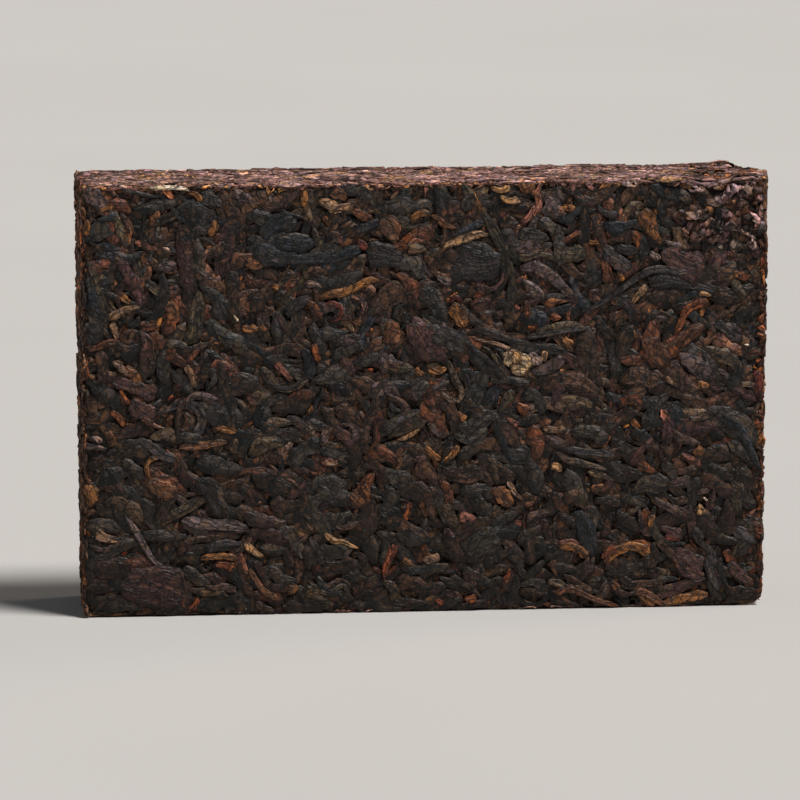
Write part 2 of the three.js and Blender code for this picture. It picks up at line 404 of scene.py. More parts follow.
def pressed_leaves(face, kind, chance, lines, width, heights, colours, shows):
    """Shapes leaves round their middle lines, presses them on the face and keeps those of which
    at least 'shows' square mm can be seen. A leaf has torn ends, folds and a crease along it, one
    steep edge and one that merges with its neighbours, and lies nearly level."""
    line_u, line_v, heading, length = lines
    count = len(line_u)
    columns = kind["columns"]
    at = stations(kind["rows"])
    along = at[None, :, None]
    rim = np.clip(2.0 * EDGE_WIDTH / width, 0.06, 0.2)
    across = across_leaf(columns, rim)[:, None, :]
    rim = rim[:, None, None]

    def draw(low, high):
        """One number for each leaf."""
        return chance.uniform(low, high, count)[:, None]

    # Its outline, from which it gets its places on the face.
    half = width[:, None] * 0.5
    to_tip = np.abs(2.0 * at - 1.0)[None, :]
    blunt = np.where(at[None, :] < 0.5, draw(*kind["blunt"]), draw(*kind["blunt"]))
    outline = np.clip(1.0 - to_tip**blunt, 0.0, 1.0) ** 0.6
    outline = outline * (1.0 + draw(-0.5, 0.5) * (2.0 * at - 1.0))
    ragged = kind["ragged"] * np.minimum(0.6 + 0.2 * width, 5.0 / width)[:, None]
    sides = []
    for _ in range(2):
        wavy = 1.0 + 1.5 * ragged * np.sin(draw(4.0, 11.0) * at[None, :] + draw(0.0, 6.28))
        torn = 1.0 + ragged * chance.normal(0.0, 1.0, (count, len(at)))
        sides.append(half * outline * wavy * np.clip(torn, 0.3, 2.0))
    side = np.where(across < 0, sides[0][..., None], sides[1][..., None]) * across
    slant = side * np.where(at < 0.5, draw(-0.7, 0.7), draw(-0.7, 0.7))[..., None]
    slant = slant * (to_tip**4)[..., None]
    sine, cosine = np.sin(heading)[..., None], np.cos(heading)[..., None]
    u = line_u[..., None] - sine * side + cosine * slant
    v = line_v[..., None] + cosine * side + sine * slant

    # Its height over the face: edges, folds along it, a crease, a roll and a sway.
    phase = draw(0.0, 6.28)[..., None]
    merging = draw(-1.0, 1.0)[..., None]
    clear = np.where(across * merging > 0.0, 1.0, 0.1 + 0.7 * np.abs(merging))
    drop = kind["edge"] * clear * np.clip((np.abs(across) - 1.0 + rim) / rim, 0.0, 1.0) ** 2
    arch = kind["arch"] * np.minimum(2.0 / width, 1.0)[:, None, None]
    drop = drop + arch * across**2 + kind["edge"] * np.abs(2.0 * along - 1.0) ** 16
    waves = draw(*kind["folds"])[..., None]
    drift = draw(-2.0, 2.0)[..., None]
    ridges = np.abs(np.cos(0.5 * (waves * math.pi * across + phase + drift * along)))
    fold = (ridges - 0.64) * 1.6 * draw(*kind["fold_height"])[..., None]
    crease_at = draw(-0.5, 0.5)[..., None] + draw(-0.25, 0.25)[..., None] * (along - 0.5)
    crease = draw(*kind["crease"])[..., None] * np.exp(-(((across - crease_at) / 0.16) ** 2))
    roll = draw(-1.0, 1.0)[..., None] * np.sin(draw(2.0, 7.0)[..., None] * along + phase)
    sway = draw(0.2, 1.0)[..., None] * np.sin(draw(3.0, 9.0)[..., None] * along + phase)
    crumple = chance.normal(0.0, kind["crumple"], (count, len(at), columns))
    h = heights[:, None, None] + fold - crease - drop + crumple
    h = h + roll * across * kind["tilt"] + sway * kind["sway"]
    h = kind["flush"] - PRESS_SOFTNESS * np.log1p(np.exp((kind["flush"] - h) / PRESS_SOFTNESS))
    if face.name == "front":
        h = h - draw(0.5, 1.0)[..., None] * crumbled_depth(u, v + face.middle[2])
    h[:, [0, -1], :] = h[:, [0, -1], :].mean(axis=2, keepdims=True)

    for values, reach in ((u, face.half[0]), (v, face.half[1])):
        over = np.maximum(values.max(axis=(1, 2)) - reach - OVERHANG, 0.0)
        short = np.maximum(-reach - OVERHANG - values.min(axis=(1, 2)), 0.0)
        values += (short - over)[:, None, None]

    area = newly_covered(face, u, v, h, shows, np.max(length), np.max(width))
    under_h = h.min(axis=2, keepdims=True) - LEAF_THICKNESS
    under_h[:, [0, -1], :] = h[:, [0, -1], :1]
    u = np.concatenate([u, u.mean(axis=2, keepdims=True)], axis=2)
    v = np.concatenate([v, v.mean(axis=2, keepdims=True)], axis=2)
    h = np.concatenate([h, under_h], axis=2)

    # Its colour, with painted shade: dark along the clear edge, in the crease, between the folds and at
    # the tips, where shade falls between and under the leaves.
    edge_shade_line = clear * np.clip((np.abs(across) - 1.0 + 1.2 * rim) / (0.8 * rim), 0.0, 1.0)
    tone = np.clip(1.0 - kind["edge_dark"] * edge_shade_line - 2.0 * crease, 0.04, 1.0)
    tone = tone * (1.0 - 0.75 * np.abs(2.0 * along - 1.0) ** kind["fade"])
    tone = tone * (1.0 + 0.4 * draw(-1.0, 1.0)[..., None] * (along - 0.5) * 2.0)
    # One margin of some leaves is paler: partly the leaf's own pale margin, partly a painted highlight
    # where the margin catches the light.
    pale_side = np.sign(draw(-1.0, 1.0))[..., None] * 0.7
    pale_margin_and_highlight = draw(0.0, 1.0)[..., None] ** 2 * np.exp(-(((across - pale_side) / 0.2) ** 2))
    tone = tone * (1.0 + 1.6 * pale_margin_and_highlight) * (0.6 + 0.6 * ridges)
    tone = np.concatenate([tone, np.full((count, len(at), 1), UNDERSIDE_SHADE)], axis=2)
    shade = tone[..., None] * colours[:, None, None, :]
    whole = Laid(face, (u, v, h), shade, length[:, 0], GIRTH * width)
    return whole.kept(area >= shows)


def newly_covered(face, u, v, h, shows, longest, widest):
    """The area of each leaf, in square mm, that lies above all the others, and marks it on the
    face's map of heights. Leaves of which less than 'shows' can be seen leave no mark."""
    count, rows, columns = u.shape
    i = np.linspace(0, rows - 1.001, int(np.ceil(longest / COVER_STEP)) + 1)
    j = np.linspace(0, columns - 1.001, int(np.ceil(widest / COVER_STEP)) + 1)
    row, column = i.astype(int), j.astype(int)
    fi, fj = (i - row)[None, :, None], (j - column)[None, None, :]

    def between(grid):
        low = grid[:, row][:, :, column] * (1 - fj) + grid[:, row][:, :, column + 1] * fj
        high = grid[:, row + 1][:, :, column] * (1 - fj) + grid[:, row + 1][:, :, column + 1] * fj
        return low * (1 - fi) + high * fi

    su, sv, sh = between(u), between(v), between(h)
    on_face = (np.abs(su) <= face.half[0]) & (np.abs(sv) <= face.half[1])
    a, b = face.cells(su, sv)
    cell = (a * face.cover.shape[1] + b)[on_face]
    leaf = np.broadcast_to(np.arange(count)[:, None, None], su.shape)[on_face]
    height = ((sh[on_face] - COVER_BASE) * HEIGHT_STEPS).astype(np.int64)
    top = np.zeros(face.cover.size, np.int64)
    np.maximum.at(top, cell, (height << LEAF_BITS) + leaf + 1)
    owner = (top & ((1 << LEAF_BITS) - 1)) - 1
    level = (top >> LEAF_BITS) / HEIGHT_STEPS + COVER_BASE
    cover = face.cover.ravel()
    seen = (owner >= 0) & (level > cover)
    area = np.bincount(owner[seen], minlength=count) * COVER_STEP**2
    marked = seen & (area >= shows)[np.maximum(owner, 0)]
    cover[marked] = level[marked]
    face.cover = cover.reshape(face.cover.shape)
    return area


def leaf_piece(name, batches, material):
    """One mesh of all the leaves in the batches. Each is a closed form with its own tile of two
    maps: one for the fibres, in mm along and round the leaf, and one for the whole surface."""
    places, triangles, colours, fibres, tiles = [], [], [], [], []
    total = sum(len(batch.u) for batch in batches)
    per_row = max(1, int(math.ceil(math.sqrt(total / 4))))
    per_column = int(math.ceil(total / per_row))
    start = 0
    done = 0
    for batch in batches:
        count, rows, columns = batch.u.shape
        if count == 0:
            continue
        inner = rows - 2
        own = 2 + inner * columns
        for grid, gathered in (
            (batch.face.fold(batch.u, batch.v, batch.h), places),
            (batch.colour, colours),
        ):
            middle = grid[:, 1:-1].reshape(count, inner * columns, 3)
            joined = np.concatenate([grid[:, :1, 0], middle, grid[:, -1:, 0]], axis=1)
            gathered.append(joined.reshape(-1, 3))
        # Corners as (point, share of the length, share of the girth), three for each triangle.
        s = stations(inner)
        corner = []
        for k in range(columns):
            a, b = k, (k + 1) % columns
            g, g2 = k / columns, (k + 1) / columns
            last = 1 + (inner - 1) * columns
            corner += [(0, 0.0, (g + g2) / 2), (1 + b, s[1], g2), (1 + a, s[1], g)]
            corner += [(own - 1, 1.0, (g + g2) / 2), (last + a, s[-2], g), (last + b, s[-2], g2)]
            for r in range(inner - 1):
                p, q = 1 + r * columns + a, 1 + r * columns + b
                p2, q2 = p + columns, q + columns
                s1, s2 = s[r + 1], s[r + 2]
                if (r + k) % 2:
                    corner += [(p, s1, g), (q, s1, g2), (q2, s2, g2)]
                    corner += [(p, s1, g), (q2, s2, g2), (p2, s2, g)]
                else:
                    corner += [(p, s1, g), (q, s1, g2), (p2, s2, g)]
                    corner += [(q, s1, g2), (q2, s2, g2), (p2, s2, g)]
        corner = np.array(corner)
        index = corner[:, 0].astype(np.int64)
        offsets = start + own * np.arange(count)
        triangles.append((offsets[:, None] + index[None, :]).reshape(-1, 3))
        share_s = np.broadcast_to(corner[:, 1], (count, len(corner)))
        share_g = np.broadcast_to(corner[:, 2], (count, len(corner)))
        # Each leaf takes its fibres from another part of their pattern, and has a tile of its own.
        number = done + np.arange(count)[:, None]
        along = share_s * batch.length[:, None] + number * 37.0 % 911.0
        round_it = share_g * batch.girth[:, None] + number * 13.0 % 397.0
        fibres.append(np.stack([along, round_it], axis=-1).reshape(-1, 2))
        tile_u = (number % per_row + 0.04 + 0.92 * share_s) / per_row
        tile_v = (number // per_row + 0.04 + 0.92 * share_g) / per_column
        tiles.append(np.stack([tile_u, tile_v], axis=-1).reshape(-1, 2))
        start += own * count
        done += count
    places = np.concatenate(places) * MM
    triangles = np.concatenate(triangles)
    mesh = bpy.data.meshes.new(name)
    mesh.vertices.add(len(places))
    mesh.vertices.foreach_set("co", places.ravel().astype(np.float32))
    mesh.loops.add(triangles.size)
    mesh.loops.foreach_set("vertex_index", triangles.ravel().astype(np.int32))
    mesh.polygons.add(len(triangles))
    mesh.polygons.foreach_set("loop_start", np.arange(0, triangles.size, 3, dtype=np.int32))
    mesh.polygons.foreach_set("use_smooth", np.ones(len(triangles), bool))
    mesh.update(calc_edges=True)
    layer = mesh.color_attributes.new(LEAF_COLOUR, "FLOAT_COLOR", "POINT")
    rgba = np.ones((len(places), 4), np.float32)
    rgba[:, :3] = np.concatenate(colours)
    layer.data.foreach_set("color", rgba.ravel())
    for map_name, values in (("OFBake", tiles), (FIBRE_UV, fibres)):
        uv = mesh.uv_layers.new(name=map_name)
        uv.data.foreach_set("uv", np.concatenate(values).astype(np.float32).ravel())
    mesh.validate()
    mesh.materials.append(material)
    piece = bpy.data.objects.new(name, mesh)
    bpy.context.collection.objects.link(piece)
    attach(piece, "root")
    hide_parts("tea_brick")


RUST = (0.085, 0.043, 0.018)
STAIN = (0.022, 0.014, 0.01)
WARM_TINT = (1.14, 1.0, 0.84)
COOL_TINT = (0.95, 0.97, 1.2)


def leaf_finish(name, roughness, ribs, wrinkles, patched, patch=RUST):
    """Dry leaf: each leaf's own colour with patches of another, soft mottling, ribs along it, fine
    wrinkles and torn cracks every way, and a dull sheen; the dark lines between the ribs, in the
    wrinkles and in the cracks are painted shade."""
    finish = Finish(name)
    colour = finish.node("ShaderNodeAttribute", {"attribute_name": LEAF_COLOUR})["Color"]
    fibre = finish.node("ShaderNodeUVMap", {"uv_map": FIBRE_UV})["UV"]
    place = finish.node("ShaderNodeTexCoord")["Object"]

    def noise(stretch, scale):
        """Soft noise over the leaf: stretch is for along and across it, scale for each mm."""
        mapped = finish.node("ShaderNodeMapping", {}, {"Vector": fibre, "Scale": (*stretch, 1.0)})
        return finish.node(
            "ShaderNodeTexNoise",
            {"noise_dimensions": "2D"},
            {"Vector": mapped["Vector"], "Scale": scale, "Detail": 2.0, "Distortion": 0.4},
        )["Fac"]

    def ramp(value, low, high):
        return finish.node(
            "ShaderNodeMapRange",
            {"interpolation_type": "SMOOTHSTEP"},
            {"Value": value, 1: low, 2: high},
        )["Result"]

    def away_from_line(value, width):
        """0 on the thin lines where the value is a half, rising to 1 beside them."""
        off = finish.node("ShaderNodeMath", {"operation": "ABSOLUTE"}, {0: value - 0.5})["Value"]
        return ramp(off, 0.0, width)

    strands = noise((0.15, 1.0), 1.5)
    rib = away_from_line(strands, 0.09)
    mottling = noise((0.6, 1.0), 1.1)
    blotches = noise((0.5, 1.0), 0.4)
    wrinkle = away_from_line(noise((0.5, 1.0), 0.5), 0.06)
    winding = noise((1.0, 1.0), 0.8)
    bent = finish.node(
        "ShaderNodeVectorMath",
        {"operation": "MULTIPLY_ADD"},
        {0: fibre, 1: (0.55, 0.9, 1.0), 2: winding},
    )["Vector"]
    torn_lines = finish.node(
        "ShaderNodeTexVoronoi",
        {"voronoi_dimensions": "2D", "feature": "DISTANCE_TO_EDGE"},
        {"Vector": bent, "Scale": 0.7},
    )["Distance"]
    crack = ramp(torn_lines, 0.0, 0.13)
    speckles = finish.node("ShaderNodeTexNoise", {}, {"Vector": place, "Scale": 1300.0})["Fac"]
    patches = ramp(blotches * 0.6 + mottling * 0.4, 0.42, 0.72)
    two_toned = finish.mix(patches * patched, colour, patch)
    tints = finish.mix(ramp(noise((0.7, 1.0), 0.7), 0.35, 0.65), WARM_TINT, COOL_TINT)
    two_toned = finish.mix(1.0, two_toned, tints, "MULTIPLY")
    # Painted shade: the colour darkens in the lines between the ribs, in the wrinkles and in the
    # cracks; the mottling, blotches, speckles and strands are the leaf's own tone.
    shade = (0.12 + 2.1 * mottling) * (0.55 + 0.5 * rib) * (0.2 + 0.85 * wrinkle)
    shade = shade * (0.4 + 1.2 * blotches) * (0.5 + speckles) * (0.1 + 1.8 * strands)
    shade = shade * (0.3 + 0.9 * crack)
    grey = finish.node("ShaderNodeCombineXYZ", {}, {"X": shade, "Y": shade, "Z": shade})["Vector"]
    toned = finish.mix(1.0, two_toned, grey, "MULTIPLY")
    height = (rib * 0.15 + strands) * ribs + wrinkle * wrinkles * 0.15 + mottling * 0.4
    height = height + speckles * 0.15 + crack * 0.12
    bump = finish.node(
        "ShaderNodeBump", {}, {"Strength": 1.0, "Distance": 0.5 * MM, "Height": height}
    )["Normal"]
    rough = roughness + 0.4 * (mottling - 0.5)
    shine = {"Specular IOR Level": 0.3}
    return finish.surface({"Base Color": toned, "Roughness": rough, "Normal": bump, **shine})


def linear(text):
    """A colour written as on paper, #rrggbb, as the numbers that light adds up in."""
    values = np.array([int(text[i : i + 2], 16) for i in (1, 3, 5)]) / 255.0
    return np.where(values <= 0.04045, values / 12.92, ((values + 0.055) / 1.055) ** 2.4)


CHOSEN_COLOURS = {
    "ink": "#1f2326",
    "dark": "#231e1c",
    "grey": "#3b3634",
    "grey2": "#5f514c",
    "olive": "#2f2a20",
    "olive2": "#4a4030",
    "plum": "#3a2723",
    "plum2": "#4a312b",
    "russet": "#55331f",
    "russet2": "#6a452c",
    "rust": "#612d20",
    "tan": "#80634a",
    "tan2": "#5f4e3c",
    "pale": "#b39a78",
    "pale2": "#907a70",
    # Near white: partly a pale leaf, partly a painted highlight where it catches the light.
    "cream": "#f0dcbc",
    "cream2": "#b5a48c",
    "gold": "#85582c",
    "gold2": "#6b4526",
    "gold3": "#a98258",
    "orange": "#7f4622",
    "orange2": "#73391f",
    "salmon": "#8a5745",
    "slate": "#2d2a26",
    "slate2": "#3e3831",
    "umber": "#302218",
    "brown": "#483224",
    "wine": "#432c28",
    "lilac": "#51423d",
    "chestnut": "#5c3520",
    "khaki": "#4d4030",
    "mahogany": "#38211b",
}
# A kind of leaf: its rows and columns of points, how blunt its tips are, how ragged its outline,
# in mm how far its edge drops, its arch, the height of its folds, its crease, tilt, sway and
# crumple, the height above which the mould pressed it flush, how dark its edge is painted, and how
# close to the tips it is painted darker, both painted shade where it dips under its neighbours.
# Leaves that lie by chance also have a length, a width and a depth in mm, and in radians a bend
# and how far they stray from the way their neighbours lie.
CHOSEN_LEAF = dict(
    rows=12, columns=9, blunt=(3.5, 10.0), ragged=0.08, edge=0.45, arch=0.04, folds=(2.0, 4.0),
    fold_height=(0.03, 0.08), crease=(0.03, 0.16), tilt=0.06, sway=0.05, crumple=0.015,
    flush=0.2, edge_dark=0.95, fade=8,
)
CHOSEN_LEAVES = {
    "mahogany": [
        (8.2, -62.5, 6, -58.4, 6.4, -54.3, 6.5, -49.8, 5.3),
    ],
    "ink": [
        (3.2, -34, 77.8, -31, 80.4, -26.9, 82.3),
        (3.2, -35.2, 77.1, -32.4, 74.7, -29.8, 73.8, -24.7, 74.5),
        (2.8, -31.5, 77.6, -27.5, 76.6, -22.5, 76.4),
        (2.2, -29.5, 73, -23.3, 73.6, -16.7, 74.4, -13.1, 75.6),
        (2.3, 46, 87.8, 49.4, 86.5, 52.9, 85.3), (1.4, -4.1, 8.6, -0.2, 8.7, 4.6, 9.7),
        (2.9, 31.5, 20.7, 33.2, 17.6, 34, 14.4, 35.5, 11.2),
        (1.6, 60.6, 39.9, 64.1, 37.6, 66.2, 34.4, 68.3, 30.2, 69.4, 27.6),
    ],
    "dark": [
        (1, -33.7, 51.6, -32.7, 48.9, -30.3, 47.2, -27.4, 47.1, -25.1, 49),
        (5.7, -11.3, 74.9, -8.5, 74, -5.2, 72.7), (7, 5.5, 72.5, 8.8, 72, 12.5, 71.7, 15.4, 72.3),
        (1.2, 9.2, 57.8, 10.8, 58.6, 13.3, 57.7, 16.4, 56.6, 20.5, 55.5, 24.7, 54.6, 29.4, 53.7),
        (1.2, 8.6, 56.1, 10.6, 53.8, 13.1, 51.7, 15.2, 49.4, 17.2, 48.1),
        (2, 45.9, 67.2, 50.5, 67.9, 54.6, 67, 60, 65.5),
        (2.7, -46.8, 28.9, -44.5, 26.2, -43.1, 23.2, -41.7, 20.1),
        (1.2, -21.7, 33.8, -18.6, 32.7, -15.1, 32.8),
    ],
    "grey": [
        (2.3, 59.5, 11.6, 59.6, 8.3, 60.4, 4.8, 61.2, 2.9), (1, -53.4, 76.6, -52.1, 76, -50.9, 75.4),
        (1.2, 31.3, 61.3, 36, 63.7, 40.1, 66.5, 44.3, 69.3, 48.4, 70.5, 53.6, 69.5, 56.7, 69.1),
        (1, 20.1, 56.7, 24.7, 57.3, 28.8, 58, 33.5, 58.3), (1.2, 35.3, 83.5, 37, 82.2, 39.5, 81.6),
        (1.8, 36.6, 75.2, 38.5, 73.5, 40.7, 72.1, 42.6, 70.6),
        (1.2, 56.2, 81.7, 59.3, 79.8, 62.6, 77.9), (1.6, 59.8, 59.5, 61.9, 57.8, 64, 56.1),
        (1.6, -57.9, 16.7, -54.6, 17.1, -51, 16.6),
        (1.6, -45.2, 13.3, -42.8, 14.7, -40.3, 15.1, -37.8, 14.6),
        (2, -58.8, 37.3, -56.1, 35.1, -53.7, 33.4, -51, 32.1),
        (1.2, -9.2, 37.4, -6.3, 39, -4.2, 40.4, -1.1, 41.4),
        (1.2, 28.4, 33.7, 31.9, 33, 36.1, 32.5, 39.6, 31.8), (1.8, 64.2, 16.4, 66.3, 14.5, 68.8, 12.8),
    ],
    "grey2": [
        (1.2, -61.8, 21.8, -60.4, 19.3, -58.7, 16.3, -57.1, 13.6, -55.7, 11.5, -53.7, 10, -51, 8),
        (1.6, -50.1, 20.3, -47.5, 19.4, -44.4, 18.7, -40.3, 18.2, -36.8, 17.7),
    ],
    "olive": [
        (1.8, 11.9, 82.5, 13.7, 79.3, 15.4, 76.2, 16.4, 73.1, 16.4, 69.6, 14.8, 66.5, 13.5, 64.3),
        (1.6, 17, 73.7, 17.6, 69.6, 17.6, 65.5, 16.8, 62), (5.7, 8.3, 13.5, 11.6, 13.9, 15.4, 13.4),
    ],
    "olive2": [
        (2.6, -46.2, 67.5, -46.8, 63.2, -47.2, 59.5, -47.8, 56.2),
        (1.6, -57.5, 69.1, -55.7, 68.1, -54.5, 66.6), (3.5, 28.1, 74.6, 30.4, 73.7, 32.5, 73.9),
        (0.8, 11.5, 55.2, 13.5, 53.8, 15, 51.2, 16.6, 48.9),
        (1.4, -53, 20.1, -50.5, 22, -48, 23.4, -45.8, 24.6),
        (1, -22.7, 5.3, -19.8, 4.2, -17.3, 5.8, -15.2, 4.3),
    ],
    "plum": [
        (1, -30.8, 63.1, -29.2, 60.2, -28, 57.7),
    ],
    "plum2": [
        (2.1, 51.4, 11.9, 54, 10.4, 56.6, 8.9, 58, 7.9), (1.8, 62.9, 9.1, 65.1, 6.7, 67.9, 4.1),
        (1.5, 49.7, 2.1, 53.6, 4.1, 58.1, 5.5), (1.7, 48.5, 16.8, 51, 16, 53.7, 14.8),
        (2, -58.4, 59.1, -56.8, 56.6, -57.4, 53.1), (2.5, -64, 49.1, -60.9, 48, -58.1, 47.1, -55, 46.1),
        (1, 10, 68.5, 12.3, 67, 14.3, 67, 16, 68.4, 16.4, 70.9),
        (3.7, -2.7, 60.3, -1.3, 57.4, 0.3, 54.4, 2.4, 53.2), (4.9, 49.2, 74.6, 53.3, 71.6, 57.9, 69.9),
        (3.9, -60.3, 44.5, -58.1, 42.8, -55.5, 41.5), (1.2, 47.2, 1.7, 50.3, 2.9, 53.2, 4.3, 57.4, 5.3),
        (2.7, 52.4, 10.2, 54.9, 7.8, 57.6, 5.9),
    ],
    "russet": [
        (1.5, 26.9, 3.6, 30.3, 4.4, 33.4, 3.9), (1.3, 26.4, 10.4, 26.8, 8.7, 27.5, 6.8),
        (1, -58.2, 77.5, -56.6, 76.3, -54.6, 76.1),
        (1.2, -69.8, 55.8, -67.6, 55.8, -64.9, 56.8, -62.3, 56.9),
        (2.3, -56.1, 59, -54.7, 57, -54.1, 55.1), (4.7, 45.3, 55.6, 47.4, 53.5, 49.7, 50.8),
        (2, 56.7, 58.3, 54.7, 56.9, 52, 53.8), (1.4, 63.9, 7.4, 67.8, 4.4),
        (1.2, 27.4, 5.1, 32, 3.4, 36.1, 1.6, 40.7, 0.2),
    ],
    "russet2": [
        (1.1, 32.2, 13.1, 33, 12.1, 33.8, 10.8),
        (1.3, 42.9, 3.3, 45.2, 3.4, 47.2, 2.2, 49.7, 0.6, 51.7, 0.3), (1.3, 38.6, 5.7, 40.2, 3.9),
        (2.9, -53, 64.9, -51.8, 63.7, -51.6, 61.2), (1.8, -19.2, 87.3, -17.4, 86.7, -16.2, 85.6),
        (2.9, -8.2, 81.4, -6.6, 79.9, -6.6, 77.2), (3.1, -6.8, 60.8, -6.6, 58.3, -6.9, 55.4),
        (1.4, -50.6, 35.2, -48, 35.2, -45.3, 35.5, -43.2, 35.9, -40.4, 36),
        (3.9, -56.6, 27.5, -54.6, 26.8, -51.3, 26.3), (1.2, -36.4, 9.8, -34.8, 7, -33, 4.9, -29.7, 3),
        (1.6, -15.2, 25.3, -13.7, 23.6, -12.9, 22.2), (1.8, 34.8, 24.4, 36.9, 25.8),
    ],
    "rust": [
        (1.6, -14, 77, -11.9, 75.5), (0.8, 4.9, 64.5, 6.3, 65.3, 7.8, 64.2),
        (0.8, -21.2, 63.7, -19.1, 64.5, -17.3, 63.2, -17.7, 61.2, -19.8, 60.6),
        (1.6, 68.6, 49.1, 68.8, 46.2, 68.7, 43.3), (1.2, 49.8, 15.1, 53.2, 14),
    ],
    "tan": [
        (1.4, -64.7, 61.3, -63, 62.9, -60.8, 63.7, -58.1, 64.2),
        (1.2, -64.3, 61.1, -63.5, 59.2, -62.9, 57.3), (1.2, -63.7, 53.2, -62.3, 51.6, -60.7, 49.9),
        (1.2, -49.3, 52.1, -48.1, 50, -47.1, 47.3),
        (1.4, -21.7, 85.3, -19.5, 84.2, -16.4, 84, -14.8, 84.6),
        (0.7, 9.8, 56.7, 12.3, 56.1, 15, 55.4, 17.8, 54.1, 20.3, 53.6), (0.8, 49.7, 48.1, 52, 46.1),
        (1.6, -67.7, 17.8, -65.7, 16.7, -63, 16), (1, -21.1, 31.5, -17.6, 31),
        (0.8, 17.2, 27.1, 18.5, 24.6, 20.5, 22.9), (1.6, -0.4, 10.6, 3.2, 11.4),
        (1.2, 24.3, 37.8, 26.7, 37.5, 29.2, 37.7),
    ],
    "tan2": [
        (1.3, 25.4, 5.9, 27.6, 5.4, 29.4, 4.1), (1.2, 28.4, 31.2, 33, 30.3, 37.7, 28.9),
        (1, 33.6, 28.8, 36.9, 27.7, 39.6, 26.4),
    ],
    "pale": [
        (2.1, 16.8, 53.9, 17.3, 50.8), (2.3, 20.4, 53.7, 20.8, 50.4), (1.9, 17.7, 50.4, 20.8, 49.6),
    ],
    "pale2": [
        (2.1, 22.7, 53.8, 22.5, 50.9), (1.2, 46.1, 74, 48.4, 72.3),
        (1.4, 56.4, 84, 59.7, 84.1, 63.8, 83.4, 68.2, 83.5), (1, 60.1, 85.5, 61.2, 83),
    ],
    # Partly pale leaves and specks, partly painted highlight: near white where they catch the light.
    "cream": [
        (0.9, -56.5, 88.6, -54.1, 88.5, -51.6, 88.6, -49.2, 88.3, -48, 87.6),
        (0.4, -39.4, 62.4, -38.4, 60.8), (0.4, 65.7, 54.6, 66.7, 54.4), (0.4, 57.9, 22.9, 58.6, 22),
    ],
    "cream2": [
        (0.7, 59.7, 75.8, 61.4, 74.6),
    ],
    "gold": [
        (0.9, -48.8, 87.4, -47.6, 87.4, -46.6, 86.8, -46, 85.5),
        (1, -66.7, 83.8, -65.5, 84.2, -63.8, 85), (1.2, -69.3, 82.2, -69, 80.6, -69.4, 79),
        (1.4, -43.3, 81.8, -43.2, 80.1, -44.4, 78.7),
        (1.6, -22.2, 65.4, -19.5, 66.2, -16.5, 66.7, -13.8, 67.9, -11.3, 69.1, -9.1, 68.8),
        (1.6, -61.8, 66.3, -60.8, 64.9), (1.4, -37.6, 59.7, -36.1, 59.3, -34.5, 59.9),
        (1, -31.6, 68.4, -30, 67.6), (1, -68.8, 50.2, -67.8, 49.6),
        (1.4, -3.1, 80.7, -2.1, 82.1, -0.4, 82.7, 1, 82.2),
        (2.3, 5.3, 63.8, 6.3, 62.2, 7.3, 60.5, 8, 59), (0.8, 33.5, 76.3, 35.6, 76.1),
        (1.2, -2.1, 50.6, -0.5, 49.1), (1, 0.3, 50.7, 2.6, 49.8, 4.4, 50.8),
        (1.6, 28.6, 56.6, 30, 54.7), (1.8, 56.4, 46.7, 58.7, 45.6),
        (1.2, -43.2, 39.2, -41.4, 38.7, -38.7, 37.9),
        (1, -56.8, 28.7, -57.2, 31.2, -56.6, 32.7, -54.7, 33),
        (2.5, -69.5, 27.6, -68.9, 25.7, -68.7, 23.4),
        (1.2, -46.3, 11.9, -44, 12.3, -41.3, 12.4, -38.5, 11.7), (1.2, 0.1, 34.5, 1.5, 32.9, 3.2, 31.4),
        (1.2, 4, 31.1, 5.7, 32.8, 6.9, 34.6), (1.2, 6.7, 41.5, 8.4, 39.6),
        (1.4, 27.4, 13.1, 29.9, 13.2, 32, 12.4, 33.8, 10.4),
        (1.8, 37.4, 9.3, 38.6, 11.4, 40.7, 12.4, 43.2, 12.9, 45.5, 12.1, 47.2, 10.5),
        (1.8, 48.7, 0.2, 51.2, 1.2, 53.9, 2, 57, 2.3, 59.1, 2.3), (1.2, 47.1, 19.5, 46.5, 16.6),
    ],
    "gold2": [
        (1.8, -36.9, 73.7, -34.8, 72.4, -33, 73), (1.2, -34.1, 59.6, -32.5, 59.2),
        (0.8, 1, 82.2, 3, 81.4, 4.7, 79.9, 6.3, 79.5), (1.2, 21.3, 87.2, 23.4, 86),
        (1, 0.7, 48.2, 3.2, 47.3), (2.3, 44.4, 82.7, 45.9, 80, 47.3, 77.3, 48.8, 75.6),
        (1.2, -64.9, 38.8, -64.3, 37.2, -63.9, 35.5), (1.8, -28.4, 4.6, -26.2, 5.8),
        (2.7, 14.7, 25.9, 16.2, 23.8, 18.3, 21.7), (1.2, -12.7, 26.9, -11.3, 24.2),
        (1.2, -4.7, 11.1, -2, 9.8), (1.4, 44.1, 3.1, 46.1, 1.5, 48, 0), (1.6, 55.4, 31.9, 57.7, 33.1),
    ],
    "gold3": [
        (1.8, 18.8, 54.1, 19, 51), (1.7, 24.8, 53.7, 24.2, 51.9), (1.6, 19, 49.6, 21.2, 50.8),
        (1.4, 3, 74.4, 4.3, 76, 6.1, 76.8, 8.4, 77.4, 10.8, 78.2, 13.1, 77.9),
        (1.2, 13.3, 87.8, 15.4, 87.1, 17.4, 87.9), (1.2, 15.2, 86.1, 17, 85, 19.3, 85.2),
        (0.8, 56.1, 65.2, 57.7, 65.3, 59, 64.7), (1.2, -37.2, 14.8, -35.4, 13.3, -33.3, 12),
        (1, -20.8, 16.9, -18.9, 15.2, -16.7, 14.7, -13.6, 13.4), (1.6, 26.3, 29.8, 28.4, 29.6),
        (1.4, 56.7, 21.4, 57.7, 19.3),
    ],
    "orange": [
        (1.4, 42.9, 13.6, 45, 13.2, 46.7, 11.9), (1.4, -69.6, 53.6, -70.1, 51.5, -69.5, 49.4),
